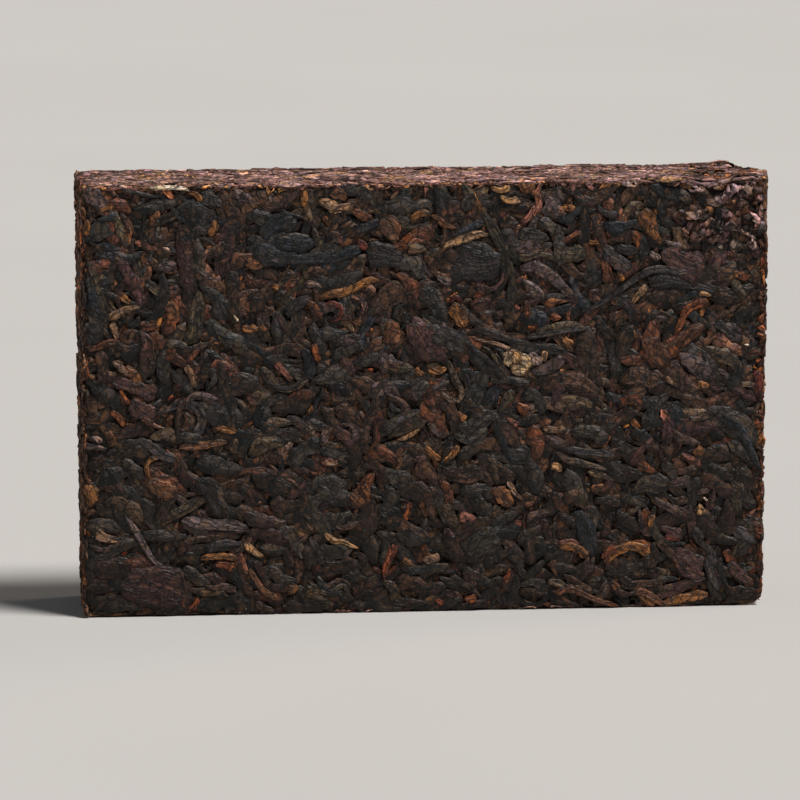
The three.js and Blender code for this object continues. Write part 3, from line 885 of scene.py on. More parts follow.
        (1.4, -2.9, 78.6, -3.9, 77.2, -5, 75.6), (1.4, 25.7, 61.2, 27.9, 60.5),
        (1.2, -23.1, 56.1, -22.5, 54.1, -21.8, 52.2), (1.2, 42.6, 78.6, 43.4, 76.8, 43.8, 74.1),
        (1.4, 51.5, 56.5, 52.6, 59.2, 53.6, 61.5, 55, 62.7, 57.1, 63.3, 58.6, 63.9),
        (1.4, 64.3, 68.9, 66.4, 68.3), (1.2, -64.4, 42.9, -62.8, 41.5, -61.6, 39.6),
        (1.4, -43.4, 10.6, -41, 10.5, -39.1, 9.6), (1, -23.6, 29.2, -22.2, 29),
        (1.2, -3, 23, -3.6, 20.7, -4.5, 19), (1.6, 8.3, 2.9, 10.6, 2), (1.8, 18.9, 43.1, 21.2, 41),
        (1.2, 62.4, 11.9, 63, 9.1),
    ],
    "orange2": [
        (1.5, 36.8, 10.2, 38.1, 11.8, 40.2, 12.5), (1.2, -46.5, 3.8, -47.4, 2.3, -48.2, 1.1),
        (1.4, -6.1, 14.3, -7, 12, -8, 9.3, -8.4, 6.6), (1, 2.3, 2.6, 3.8, 1.5),
        (1, 17.7, 8.7, 16.6, 5.6),
    ],
    "salmon": [
        (1.1, 27.6, 13.7, 29.8, 14.2, 32, 13.4),
        (1.2, -31.1, 52.4, -29.6, 51.1, -28.2, 49.4, -27.2, 48.2),
        (1.2, 22.8, 83.7, 21.5, 81.9, 19.7, 80.1), (1.6, 6.9, 19.2, 8.7, 19.8, 10.8, 18.7),
        (1, 16.8, 40.2, 19.3, 38.3), (1.8, 48.9, 41, 50.4, 39.1),
    ],
    "brown": [
        (1.4, 40.2, 4.1, 43.7, 5, 47.2, 5, 50.6, 6), (1.5, 47.9, 14.5, 50.6, 11.7, 53.6, 8.6),
        (1.8, 53.6, 7.4, 56.1, 6.9, 58.1, 5.9),
    ],
}
# The smaller leaves between them, flatter and with fewer points.
FRONT_LEAF = dict(
    CHOSEN_LEAF, rows=8, columns=7, blunt=(2.2, 7.0), edge=0.3, arch=0.0, edge_dark=0.88
)
FRONT_LEAVES = {
    "slate": [
        (3.6, -69, 78.7, -66.6, 80.1, -63.8, 81.2),
        (2, -58.9, 84.1, -56.4, 84.4, -53.8, 84.9, -51.6, 85.5),
        (3.4, -50.5, 83.3, -48.5, 84.2, -46.5, 83.6, -45.2, 81.6),
        (3, -45.2, 67.5, -43.5, 66.4, -42.2, 64.9, -41.9, 62.3),
        (2.4, -44.7, 86.9, -43.2, 85.7, -41.9, 84.6), (3.6, -35, 80.7, -32.7, 81.9, -30.2, 81.6),
        (2.6, -36, 77.6, -32.7, 77.1, -29.4, 77.5, -24.3, 78), (3, -35.5, 75.3, -32.7, 75, -30.2, 76.3),
        (2.4, -23.8, 74.4, -21.2, 75.1, -18.7, 75.1, -17.2, 74.8),
        (3, -23.3, 69, -20.2, 68.2, -16.6, 68.9, -13.6, 70.1),
        (2.6, -15.4, 86.6, -14.1, 87.6, -12.3, 86.8), (3, -8.5, 84.2, -5.9, 84.4, -2.8, 84.1),
        (2.4, -27.9, 63.4, -26.4, 64.1, -24.6, 64.6), (3.4, -67.4, 63.2, -67.2, 60.6, -67.4, 57.8),
        (2.6, -53.9, 54.5, -53.7, 51.9, -53.5, 49.1), (1.8, -51.9, 50.6, -49.9, 48.5, -47.8, 46.4),
        (4.6, -44.8, 41.2, -42.2, 41.4, -39.4, 42.2), (2, -50.4, 37.4, -48.1, 36.9, -45.8, 36.6),
        (3.4, -65.9, 47.2, -64.7, 45.7, -63.7, 44.1), (2, -61.2, 35.8, -59.6, 36, -58.6, 35.8),
        (3.4, 2, 87.4, 3.3, 85.8, 4.3, 84.3), (2.4, 16.7, 78.5, 18, 75.4, 18.3, 72.8),
        (3.4, 7.7, 75, 10, 75.2, 12.1, 76), (3.4, 8.5, 73.4, 11.6, 72.9, 15.2, 72.6),
        (3.2, 7, 70.9, 10, 71.1, 13.6, 70), (2.2, 20.3, 78.9, 22.3, 77.9, 23.9, 77.3),
        (3, 33.5, 71.5, 35, 69.7), (3.6, 0.6, 65.3, 2.4, 63.5, 3.1, 61.7),
        (1.6, 25, 65.2, 27.1, 64.9, 28.3, 65.2), (2.4, 40.9, 75.6, 41.5, 73.5),
        (3.2, -30.8, 61.1, -29.8, 58.5, -28.4, 56.2), (2.4, -32, 52.8, -30.7, 53, -29.4, 52.8),
        (2.2, -23.2, 59.7, -22.3, 57.1, -21.5, 54.3), (2.6, -20.7, 58.4, -18.7, 58.1, -17.1, 58.3),
        (2.4, -13.5, 52.3, -11.7, 52.6, -10.2, 53.1), (3.4, -32.5, 38.2, -30.5, 37.4, -28.7, 37.1),
        (3.6, -27.1, 33.4, -24.8, 34.2, -22.5, 34.4), (2.4, -20.5, 33.6, -18.7, 32.9, -16.9, 32.3),
        (2.2, -32.2, 44.6, -29.4, 44.7), (4.4, 2.1, 58.6, 4.9, 57, 6.8, 54.9),
        (2.4, 8.7, 55.8, 10.6, 53, 12.7, 50.7, 14.3, 49.1), (4.6, 9.5, 48.1, 10.1, 46, 10.5, 43.7),
        (3, 7.6, 38.8, 9.7, 38.5, 12.5, 39.2), (4, 15.9, 34.3, 18.5, 32.4, 21.3, 31.3),
        (3, 8.6, 34.1, 10.7, 32.8), (2.8, 21.5, 44.6, 22.8, 44.3, 24, 42.4),
        (2.6, 10.4, 40.3, 12.2, 40.8, 14.3, 40.5), (3.4, 63.7, 49.1, 65.5, 47.2),
        (2.4, 45.1, 43.3, 47.4, 42.7, 49.5, 43.7), (3, 45.1, 39.6, 46.9, 40.3, 48.6, 40.7),
        (3, 38.6, 53.6, 39.3, 51.8, 39.7, 50),
        (2.6, -65, 32.2, -64.9, 30.2, -64, 28.1, -62.2, 26.2, -60.2, 25.2, -58.1, 23.3),
        (3, -58.1, 23.3, -56.6, 21.2, -54.8, 19.1), (2.6, -65.6, 2.2, -62.3, 2.9, -58.5, 2),
        (4, -45.6, 3.4, -43.1, 3, -40.8, 2.5), (2, -45.4, 14.3, -42.8, 14.7, -39.7, 14.7),
        (4, -44.3, 31.9, -42.3, 30.8, -39.9, 30.3), (3.4, -70.5, 11.6, -70.2, 9.5),
        (2.4, -23.3, 21.7, -22, 19.8, -20.7, 17.5, -19.9, 15.9),
        (3.4, -20.4, 13, -18.6, 12.7, -17.1, 13), (4, -23.8, 26.6, -21.2, 26.8, -18.1, 26.8),
        (4, -19.9, 24.2, -18.1, 23.9, -16.3, 24.4), (3, -12.5, 16, -11.4, 14.2, -10.6, 11.6),
        (2.8, -4.5, 15.9, -2.4, 15.1, -0.1, 15.3), (3, -4.7, 13, -3.7, 10.9),
        (3.2, -7.8, 28.9, -5.8, 27.9, -3.2, 27.3), (3.2, -8.1, 25, -7.1, 23.2, -7.8, 20.9),
        (3, -15.5, 7.5, -14.8, 8, -14, 6.9), (3.4, 9.4, 25.8, 11, 25.2, 12.6, 23.9),
        (3, 9.5, 22.9, 11, 22.6, 13.3, 22.8), (3.2, 17.4, 29.8, 19.5, 29, 21.3, 29),
        (3.2, 21.6, 30.5, 22.6, 28.2, 22.6, 25.6), (2.2, 11.1, 13.2, 13.4, 14, 14.9, 12.6, 15.2, 10.5),
        (3, 14.9, 18.9, 17.5, 18.6), (1.5, 19.4, 9.2, 20.9, 7, 22.7, 8.3, 24.5, 9.9),
        (2.6, 18.3, 12.1, 19.1, 9.7), (2.8, 18.9, 5.8, 18.3, 4.2, 17.3, 2.4),
        (1.6, 19.9, 5.2, 22.2, 5.7, 25.1, 4.9), (2.4, 4.1, 6.6, 5.9, 5.8, 7.7, 5.2),
        (2.4, 4.1, 1.6, 5.9, 1.6), (2.8, 28.2, 9, 29.7, 8.2),
        (1.6, 47.6, 20.9, 47.1, 18.3, 47.6, 15.7, 49.7, 13.6, 51.8, 13.3, 53.9, 13.2),
        (3, 55.1, 25, 55.6, 23.2, 55.9, 21.8), (1.6, 56, 16.1, 57, 14, 58.1, 12.1),
        (3, 59.2, 6.6, 60.2, 4.5), (1.8, 37.8, 7.2, 40.1, 7.5, 42.5, 7.9),
        (3.4, 57.6, 29.1, 59.7, 28.8, 61.8, 28.8), (2.4, 39.7, 29.4, 40, 27.1),
    ],
    "slate2": [
        (2.2, -47.1, 77.8, -46.5, 75.2, -46.2, 72.6, -46.5, 70.1),
        (2.6, -30.9, 74.2, -28.1, 74.2, -25.1, 74.9), (3.2, -4.6, 72.3, -2.5, 72, -2, 70.7),
        (1.4, -52.7, 56.3, -50.9, 56.6, -49.3, 56), (1.2, -43.5, 51, -43.5, 48.9, -44.3, 47.4),
        (2.6, 8.2, 87.3, 8.9, 86, 8.4, 84.7), (2, 23.9, 80.2, 25.9, 79.4, 27, 78.3),
        (1.6, 19, 76.9, 21.1, 76.6, 23.4, 76.8, 24.9, 77.1),
        (2, 27.2, 79.4, 27.5, 76.8, 27.8, 74.2, 28, 72.1), (2.2, 63.8, 88.7, 65.6, 89.4),
        (3, 52.7, 85.2, 54.8, 85.2), (2.6, 46.4, 68.3, 49.8, 69, 53.4, 68.7, 57.5, 67.6, 60.7, 66.8),
        (1.8, -29.2, 51.4, -27.4, 50.2, -25.6, 48.7), (2.6, -17.9, 54, -15.9, 54.7, -13.8, 55.4),
        (3.8, -21.4, 49.1, -18.9, 49.3, -16.4, 50.3), (4.2, -3.1, 47.3, -1.5, 47.2, 0.6, 47.1),
        (2.2, -8.9, 37.4, -6.6, 39, -4.3, 40.3, -2, 41.2, 0.1, 40.9),
        (1.8, 17.3, 55.5, 21.2, 54.7, 25.1, 54.3, 28.9, 53.6), (1.6, 13.7, 47.9, 17.4, 48, 21.2, 47.4),
        (1.8, 0.1, 46.2, 2.4, 47.2, 4.5, 47.7), (3.2, 7.7, 36.7, 9.7, 35.9, 11.2, 36.4),
        (3.6, 32.1, 36.7, 33.7, 37, 35.8, 36.4),
        (2.4, 53.3, 53.8, 55.1, 54, 56.9, 52.3, 58.7, 50.2, 60.6, 47.7),
        (4.4, 58.6, 39.8, 62, 39, 65.4, 37.1, 67.7, 34.4), (1.6, 35.5, 36.7, 37.1, 37.5, 38.9, 38.2),
        (2.2, 63.6, 34, 65.7, 32.1, 67.8, 30.1), (2, 58.3, 41, 60.7, 40.9, 62.7, 40.1),
        (2.4, -61.2, 31.7, -59.4, 30.6, -58.1, 29.8),
        (2.2, -44.6, 28, -43, 26.2, -42, 23.8, -40.7, 20.2), (2, -49.7, 19.5, -47.9, 18.3, -44.3, 18.2),
        (2, -57.9, 16.8, -55.1, 17.1, -52, 16.5, -49.5, 16.7),
        (1.8, -69.2, 13.2, -66.1, 12.6, -64.1, 13.6, -61.5, 15.1, -59.2, 15.8),
        (2.4, -48.7, 9.7, -47.4, 8.1, -45.1, 6.7), (3, -68.4, 19.4, -66.6, 19.3, -64, 18.3),
        (2, -29.2, 18.1, -27.9, 16.6, -26.6, 14.5, -25.1, 12.3),
        (1.8, -33.3, 14.1, -31.5, 13.6, -29.2, 13.5), (2.2, -23.3, 15.2, -22.6, 12.8, -22, 10.7),
        (2.8, -24.6, 22.5, -22.8, 23.5, -21.2, 24.5), (3, -20.2, 20.1, -18.1, 19.5, -16.8, 19.7),
        (2.6, -8.3, 16.2, -6.8, 15.4), (3, -8.1, 13.9, -7.8, 11.8), (1.8, -4.4, 9.1, -2.4, 9, 0.5, 8.7),
        (2.6, -31.5, 8.8, -29.7, 7.5, -27.6, 7.4), (1.4, -9.9, 1.4, -7.8, 0.8, -4.9, 1),
        (2, 0.9, 27.8, 2.2, 25.4, 3.5, 22.5, 4.6, 19.6, 5.9, 17.8),
        (1.8, 19.6, 14.6, 21.7, 15.9, 23.7, 17.2), (1.5, 25.3, 10.6, 27.4, 11.6, 29.2, 12.4),
        (1.4, 16, 10.8, 17, 12.9), (3.2, 33.8, 20.1, 34.1, 17.5, 34.1, 14.4),
        (3.4, 29.9, 27, 31.2, 25.1, 32.8, 22.8), (2.2, -0.6, 8.6, 1.8, 9.1, 4.3, 9.4),
        (2.2, 11.9, 6.2, 13.2, 5.6, 14.4, 6.4), (3.6, 44.4, 24.7, 46.8, 25.9, 49.6, 25.9),
        (1.5, 40.8, 23.1, 43.1, 22.3, 45.5, 21.2), (2.2, 61.7, 13.9, 63.8, 13.8),
        (1.6, 50.3, 12.8, 52.4, 10.9, 54.5, 9, 56.6, 7.2), (2.2, 59.4, 11.8, 59.4, 9.7, 59.2, 8.2),
        (1.4, 45.9, 8.4, 47.9, 9.9, 50.3, 11.2), (1.6, 37.8, 8.6, 40.9, 8.2, 43.5, 8.5, 46.1, 9.2),
        (3.4, 65.6, 16.4, 66.4, 14.3, 65.6, 11.7), (2.8, 66.8, 24, 66.1, 21.9),
        (2.4, 64.5, 25.9, 64.5, 22.7, 64.3, 19.6), (2.6, 50.1, 28.7, 51.7, 27.9),
    ],
    "umber": [
        (2.2, -39.4, 70.7, -39.4, 67.9, -39.4, 64.8, -39.4, 61.2),
        (2.2, -23.8, 85.2, -23.3, 82.6, -22.3, 80.5), (3, -35, 64.8, -33.3, 66, -31.5, 67),
        (1.8, -58, 55.9, -57.8, 52.8, -58, 49.2), (1.8, -56.5, 55.1, -56, 52.7, -56.5, 50.2),
        (1.4, -42, 52.3, -41.8, 49.2, -42.2, 47.4), (5, -41.5, 46.8, -39.2, 47.8, -36.6, 47.3),
        (1, -50.1, 44.4, -50.7, 41.6, -50.9, 39, -51.2, 36.4),
        (2.6, -60.9, 34, -59.1, 34.5, -57.8, 33.7), (3, 4.9, 73, 6.9, 72.9),
        (3.4, 47.5, 64.9, 49.8, 64.9, 50.8, 64.1), (3.4, 61.2, 65, 63.8, 64.7, 65.9, 65.9),
        (2.6, -33.5, 60.1, -33.3, 58.1), (2.8, -31, 42.8, -27.9, 43.3, -24.6, 43.5),
        (3.2, -12.7, 37.1, -14, 34.5, -14.8, 31.1), (2.6, -20.2, 41.6, -18.9, 39.8),
        (1.6, 14.5, 53, 15.5, 50.6, 17.3, 48.8), (3.4, 32.5, 57.3, 33.5, 53.7, 33.7, 50.8, 33.9, 48.3),
        (2.4, 8.9, 42.8, 11.2, 42.4), (2.6, 47.9, 45.8, 51, 45.3, 53.6, 44.3),
        (3.8, 40.2, 33.6, 43.3, 32), (4, 58.1, 32.2, 61.8, 31.3),
        (3.2, 40.5, 57, 40.8, 54.4, 41.1, 52.8), (3.2, -54.6, 22.5, -53, 23.8, -51.2, 24),
        (2.8, -41.5, 24.6, -39.2, 24.6), (4.6, -69.2, 11.1, -66.1, 10.5, -63, 10.4),
        (4, -68.9, 8, -66.1, 6.9, -62.3, 6.8), (4, -50, 4.5, -49.8, 1.9, -50, 0.3),
        (1.4, -68, 1.4, -65.1, 3.5, -61.8, 3.7, -59.2, 2.6), (2.4, -49.9, 31.7, -49.7, 29.4),
        (1.6, -24.6, 13.9, -24.3, 11.8, -23.8, 9.7), (2.2, -28.9, 12.2, -27.6, 11.6),
        (3.4, -19.2, 9.9, -17.1, 9.6, -15.3, 10.3), (4.2, -33.3, 27.8, -30.7, 27, -28.7, 26.2),
        (3, -30.2, 23.1, -28.2, 22.5, -26.4, 22.5), (5, -13, 21.5, -11.9, 19.4, -11.9, 17.3),
        (3.4, -3.7, 25.8, -1.6, 24.9, 0.2, 24.4),
        (1.5, -34.6, 9.4, -33, 7.3, -31.5, 5.7, -28.9, 5.6, -26.9, 6.1),
        (2.2, -24.8, 3.2, -22.8, 1.9, -21.2, 1.6), (3, -27.6, 1.2, -25.3, 0.9, -23.3, 1.1),
        (2.2, -18.6, 4.7, -17.1, 3.8, -15.5, 3.6), (1.6, -7, 1.8, -3.4, 2, 0.2, 1.7),
        (3, 5.6, 29, 7.9, 28.7, 10.5, 28.6), (3, 15.9, 29.8, 16.7, 28.3),
        (4.6, 7.9, 16.7, 9.7, 16.9, 11.8, 16.9), (3.4, 12.3, 16.6, 13.4, 16.1, 13.9, 14.8),
        (2.6, 8, 11.5, 9, 13.3, 10.5, 14.6), (3.4, 11.8, 11.4, 13.4, 10.8, 13.1, 9.3),
        (2.4, 20.9, 13.1, 22.7, 11.2), (2.4, 28.6, 18.7, 30.7, 18.6), (3, 0.5, 4.6, 2.5, 4.5),
        (1.4, 6.7, 0.8, 9.5, 1, 11.9, 2), (3.2, 30.5, 6.3, 32.1, 7.6, 33.9, 7.6),
        (2.6, 9.3, 8, 10.6, 7, 11.9, 6.4), (2, 15.5, 5.6, 17, 5.3),
        (1.6, 35.6, 22.7, 38.2, 22.2, 40.3, 21.9), (4, 49.4, 18.6, 51.2, 18.5, 52.6, 17.7),
        (3, 52.5, 20.3, 53.8, 19), (4, 58.5, 18.9, 59.1, 16.5, 59.6, 13.9),
        (4, 61.1, 19.1, 62.7, 18.8, 63.8, 18), (2.6, 61.5, 7.9, 63.3, 6.5), (3.4, 64.7, 3.3, 67.1, 2.2),
        (3.2, 47.2, 5.2, 49.3, 5.2), (2.4, 46.9, 12.6, 47.7, 10.7, 46.6, 9.7),
        (2.4, 41.2, 6.1, 42.5, 5.1), (3.6, 41.6, 18.2, 42.9, 17.9),
        (3.2, 65.7, 27.2, 66.5, 25.3, 65.5, 23.8), (2.4, 51.2, 24.5, 53.3, 24.2),
        (3.4, 42.6, 28.9, 43.4, 27.5),
    ],
    "brown": [
        (1.4, -62.1, 83.1, -61.2, 81.7, -60, 79.5), (3, -45.5, 70.1, -43.7, 68.7, -41.9, 68),
        (2, -41, 86.4, -40.1, 84.3, -39.1, 82.8),
        (2.6, -23.8, 70.8, -20.7, 71.5, -17.7, 71.5, -15.4, 71.2), (3, -8.5, 79.3, -6.9, 78.5),
        (4, -10.2, 63.6, -7.9, 65.7, -5.9, 66.7), (2.6, -66.3, 54.2, -66.1, 52.1, -66.3, 50.3),
        (1.4, 19.3, 74.3, 21.3, 74, 23.4, 74.5), (1.8, 28.6, 72.6, 29.9, 70.6, 31.7, 69.5, 33.2, 69.5),
        (2.2, 50.7, 81.6, 52.2, 81.1), (3.4, 41.1, 86.4, 43.2, 85.9),
        (2.2, -34.5, 53.3, -32, 54.3, -28.9, 55.1, -26.4, 54.6, -24.3, 53.8),
        (2, -13, 53, -11, 54.8, -8.9, 56.3), (2.8, -17.4, 41.9, -15.6, 41.3, -13.5, 39.9),
        (3.4, -13.8, 48.5, -12.2, 47.4, -11.5, 46.9),
        (1.5, 8.8, 57.7, 10.3, 58.8, 13.7, 57.9, 17.3, 56.7, 21.4, 56.3),
        (1.4, 26.6, 57.4, 28.1, 55.6, 30.2, 54), (3.4, 25.1, 46.6, 29, 47.3, 32.9, 46.2, 36.2, 44.1),
        (2.8, -0.7, 44.6, 2.7, 44.6, 5, 42.5, 6.3, 39.3, 6.6, 36.8),
        (3.2, 11, 34.3, 12.8, 34.8, 14.8, 35.2), (3.4, 15.3, 37.4, 17.4, 37.1, 18.7, 36.3),
        (3.2, 49.4, 49.4, 52, 48, 54.6, 45.9, 56.5, 44.1), (4.2, 42.4, 48.1, 44.5, 48.6, 46.8, 47.9),
        (2.8, 53.6, 43.3, 57, 42.6), (2.2, 35.6, 32, 37.6, 31.8, 40, 32.8),
        (2.6, -46.9, 17.2, -43.1, 16.8, -39.2, 16.8),
        (1.5, -38.2, 10.8, -37.7, 8.1, -36.7, 5.5, -35.6, 4.2),
        (1.5, -50.5, 13.3, -49.2, 14.9, -46.9, 15.9, -44.8, 16.3),
        (3, -7.6, 18.5, -5.5, 18.2, -3.4, 17.2), (3.4, -4.2, 5.4, -2.4, 5.9, -0.3, 5.6),
        (2, -20.2, 8.1, -18.6, 9.1, -17.3, 9.6), (3, 0.2, 24.1, 1.5, 22.5, 2.2, 21),
        (1.8, 5.6, 27.9, 9.2, 27.6, 12, 28.3, 13.8, 26.5), (1.4, 20.2, 3.9, 22.8, 3.6, 25.1, 3.3),
        (3, 30.4, 23.6, 32, 22.5, 33, 21.2), (1.8, -0.6, 30.1, 0.9, 29.3, 2.5, 26.4),
        (1.3, 29, 6.9, 31.3, 5.8, 33.9, 3.9, 35.8, 3.4), (2, 8.5, 7, 10.3, 5.9),
        (1.4, 50.2, 23.5, 51.7, 22.4, 54.3, 22.4), (2.8, 57.7, 26.8, 59.8, 25.7, 61.9, 24.3, 63.4, 23),
        (2, 41.7, 13.5, 39.3, 13, 37.5, 12.8), (1.2, 43.6, 3.2, 45.6, 4.7),
        (2.4, 53.5, 28.2, 54.8, 28.7), (1.4, 61.8, 4.7, 62.9, 3.6, 64.2, 3.1),
    ],
    "lilac": [
        (3.2, -69.6, 87.9, -68.3, 86.1, -66.9, 84), (1.6, -38.8, 87.4, -37.3, 86.6, -35.5, 85.6),
        (2, -54.6, 72.7, -53.4, 72.5, -52.1, 71.9), (1.2, -24.3, 68.2, -22.8, 68.3, -21.5, 67.7),
        (2.4, -21.2, 64.1, -19.2, 63.5, -17.7, 62.5),
        (1.6, -49.4, 43.1, -48.1, 45.4, -45.5, 45.6, -43.5, 44.5, -42, 43.8),
        (1.2, -70.6, 36, -68.6, 35.4, -66, 35.1), (2.4, 25.9, 85.6, 26.2, 83.5, 27, 81.9),
        (2.4, 19, 75.9, 21.3, 75.3, 23.6, 75.3, 25.4, 75.8),
        (2, 19.8, 71, 21.9, 71.7, 24.5, 70.1, 27, 68.3, 29.1, 66.2, 31.5, 64.1),
        (2.6, 21.4, 67.6, 22.4, 66.5, 23.2, 65.5), (3.6, 55.4, 78, 58, 78.2, 61.1, 77.9),
        (2, 54.3, 82.6, 55.9, 81.8), (2.4, 37.6, 73.8, 39.1, 72.2, 40.4, 70.4),
        (2, -18.7, 57.2, -16.4, 56.8, -13.8, 57.4), (2, -9.1, 54.6, -8.5, 52.5, -8.1, 50.5),
        (3, -9.7, 46.3, -8.1, 46.8, -6.8, 45),
        (1.3, -17.4, 39.3, -15.3, 39.2, -14.2, 37.6, -15.1, 35.6),
        (1.8, -27.9, 40.7, -26.1, 39.9, -24.3, 38.4), (2.4, -21.2, 37.2, -19.7, 37.4),
        (2, 22.5, 49.7, 25.1, 50.3, 28.4, 52.6), (1.6, 0.9, 38.9, 4, 36.8),
        (2.2, 25.7, 36.2, 27.2, 34.8, 28.8, 34), (1.3, 27.4, 32.5, 29.1, 31.4, 31.4, 30.5),
        (3, 59.2, 58.8, 61.3, 57.7, 63.9, 56.8), (3.2, 53.5, 52.2, 56.1, 50.2, 59, 48.5),
        (1.5, 51.3, 36.9, 52.7, 35.5, 54.5, 34.7, 56.6, 34.2),
        (1.8, -50.2, 24.7, -49.4, 23.4, -48.4, 22.6),
        (2.2, -47.9, 19.5, -44.3, 19.3, -40.5, 18.6, -36.6, 18.1),
        (1.1, -68.7, 15.2, -66.4, 14.1, -64.3, 14.6, -62.3, 15.6),
        (1.4, -44.9, 6.2, -43.1, 5.6, -41.3, 5.9, -39.2, 5.3),
        (2.6, -36.6, 20.9, -34.6, 20.1, -32, 19, -29.2, 19.2),
        (1.2, -16.8, 11.9, -15.5, 10.9, -14.3, 9.8), (2, -17.4, 18.4, -16.1, 18.2, -14.8, 18.9),
        (1.2, -13.7, 12.7, -12.7, 11.1), (1.4, -3.7, 18.5, -1.9, 17.1, 0.4, 16),
        (1.2, -33.3, 7.8, -32.5, 6.2), (1.5, -34.6, 2.9, -33.3, 1.5, -31.3, 0.6),
        (1.2, -18.6, 6.6, -17.1, 6.7, -15.5, 5.4), (2.2, 5.3, 23.3, 6.6, 21.9, 7.1, 20.9),
        (1.7, 15.4, 15.8, 17.5, 13.9, 19.9, 11.5, 21.9, 9.6), (1.8, 21.6, 19.1, 23.2, 19.8, 25, 20),
        (1.2, 5.9, 7.3, 7.2, 6, 9.3, 4.9, 11.6, 2.8), (3, 32.6, 8.9, 33.9, 7.6),
        (1.4, 47.8, 22.8, 49.4, 21.4, 52.3, 19.8, 54.4, 18.2),
        (1, 44.5, 20.5, 44.7, 17.9, 45.5, 15.7, 46.8, 15.2), (1.2, 56.9, 23.4, 58.2, 24.7),
        (2.6, 53.4, 10.9, 55.5, 10.1, 57.6, 10), (1.6, 49.8, 2.6, 52.7, 4.1, 55.5, 5.3, 58.1, 5.8),
        (3, 36.3, 3.6, 37.3, 2), (2, 68.2, 18.7, 69.2, 16.6), (2, 52.2, 25.8, 53.8, 26.8),
    ],
    "wine": [
        (2, -62.3, 73.6, -61.5, 72.1, -60.9, 70.8, -60.3, 69.5),
        (2.6, 59.1, 71.5, 61.6, 72.5, 64.2, 72.4), (1.6, 67.6, 75.7, 67.6, 73.2),
        (1.8, -16.7, 52.7, -15.8, 51.3, -15.3, 49.8), (3, -17.5, 38.2, -16.6, 36.9, -16.1, 35.8),
        (4.6, 0.1, 59.6, 0.8, 57, 1.9, 53.9), (2.6, 30, 53.2, 30.1, 50.9),
        (2.4, 26.9, 45.8, 27.2, 43.7), (4.2, 54.1, 37.3, 56.3, 37.8, 58.6, 36.9),
        (2.6, 50, 39.4, 50.3, 37.3, 50.3, 35.2), (1.3, 42.8, 30, 44.6, 32.7, 46.7, 35),
        (1.8, 63.7, 45.2, 65.3, 44.6, 67.5, 43.3), (3, -66, 27.6, -64.5, 27.6, -63.5, 26.3),
        (4.6, -60.2, 8.1, -57.2, 7.7, -54.6, 6.9), (4.6, -58.2, 5.4, -54.6, 5.3, -50.3, 5.5),
        (2, -34.6, 20.6, -33, 19.8, -31.5, 19), (3.6, -34.8, 16.7, -32.8, 16.9, -30, 16.3),
        (2.2, -27.6, 25.6, -26.4, 25.4, -25.3, 25.9), (2, -34.6, 10.2, -33.3, 8.8),
        (3.2, 5.9, 16.2, 5.6, 13.9, 5.9, 11.5), (2.2, 25, 17.7, 25.3, 15.9),
        (1.8, 54.6, 20.8, 55.2, 18.2, 55.2, 15), (2, 59.3, 23.1, 59.5, 21.5),
        (1.9, 64.4, 7.3, 66, 5.9, 68.1, 4.1), (1.4, 38.6, 6.2, 39.6, 4.3, 41.5, 2.7, 43.6, 3.2),
        (2.4, 37.2, 17.2, 38.5, 16.9), (2, 37.7, 26.3, 37.9, 25),
    ],
    "chestnut": [
        (3.4, -51.9, 64.5, -51.8, 62.4, -51.9, 60.1), (2, -13.6, 83.2, -12.6, 82.2, -12, 81.4),
        (2.4, -4.6, 69.8, -3.6, 68.7, -2.5, 67.1), (2.2, -23.8, 64.1, -22.8, 63.3, -22, 62),
        (2.4, -51.6, 54.5, -50.9, 53.2, -50.1, 52.1), (1.6, -48.6, 53.9, -46.8, 54.1),
        (1.2, 20.6, 64, 21.1, 62.4, 20.9, 60.9), (2, 37.1, 71.5, 37.4, 68.9),
        (2.2, -27.6, 44.8, -25.6, 45.6, -23.5, 45.5), (3, -10.7, 32.9, -8.9, 33.4, -6.8, 32),
        (2.4, -0.4, 43.1, 1.4, 40.7, 3.7, 37.8), (3.2, 22.6, 36.5, 23, 34.4, 22.6, 32.6),
        (4, 46.8, 57.4, 46.8, 55.3, 46.4, 53), (3, 49.8, 53.1, 52.2, 55, 54.5, 57, 56.9, 58.3),
        (2.2, 40.9, 42.8, 42.5, 43.7, 44, 42.8), (2.4, 41.1, 52, 42.1, 51.5, 43.6, 51.6),
        (4.6, -56.1, 27.7, -53.8, 27.4, -51.2, 27.6), (3, -60.2, 10.1, -58.7, 11.1, -57.2, 11.4),
        (3.2, -12.5, 27.7, -13, 25.1, -12.7, 23.3), (2.6, -35.1, 4.2, -32.8, 3.9, -30.2, 3.3),
        (2, 3.8, 26.4, 4.8, 24.8, 5.3, 23.5), (1.6, 15.8, 3.7, 17, 5.5, 17.6, 7.1),
        (2, 45.8, 19.9, 45.8, 17.8, 46.1, 16.3), (2.2, 45.2, 29.1, 46.7, 29.3),
    ],
    "khaki": [
        (1.4, -33.3, 51.1, -31.7, 49.3, -30.6, 47.4, -28.7, 46.7, -26.4, 47.1, -24.3, 48.4),
        (3, -7.4, 59.7, -7.1, 57.9, -6.9, 56.6), (3.4, -6.3, 38, -3.7, 38.7, -1.4, 39.7),
        (1.6, 23, 58.1, 26.6, 58.7, 30.2, 59.1, 32.5, 58.8), (3.2, 28.7, 42.9, 30.6, 43.2, 32.8, 42.4),
        (1.5, 29.6, 33.4, 33, 32.4, 36.3, 31.8), (2.6, 58.2, 53.3, 60.8, 52.5, 63.7, 51, 65, 49.3),
        (1.9, -54.1, 19.4, -52, 20.9, -49.4, 22.1, -46.9, 23.9, -44.6, 24.9),
        (1.2, -46.9, 4.9, -44.4, 4.6, -41.8, 4.8, -40.8, 4),
        (1.2, -23.8, 6.6, -22.2, 5.5, -20.2, 5.5, -18.6, 6.5), (2.4, -8.3, 4.7, -6.8, 5, -5.5, 4.1),
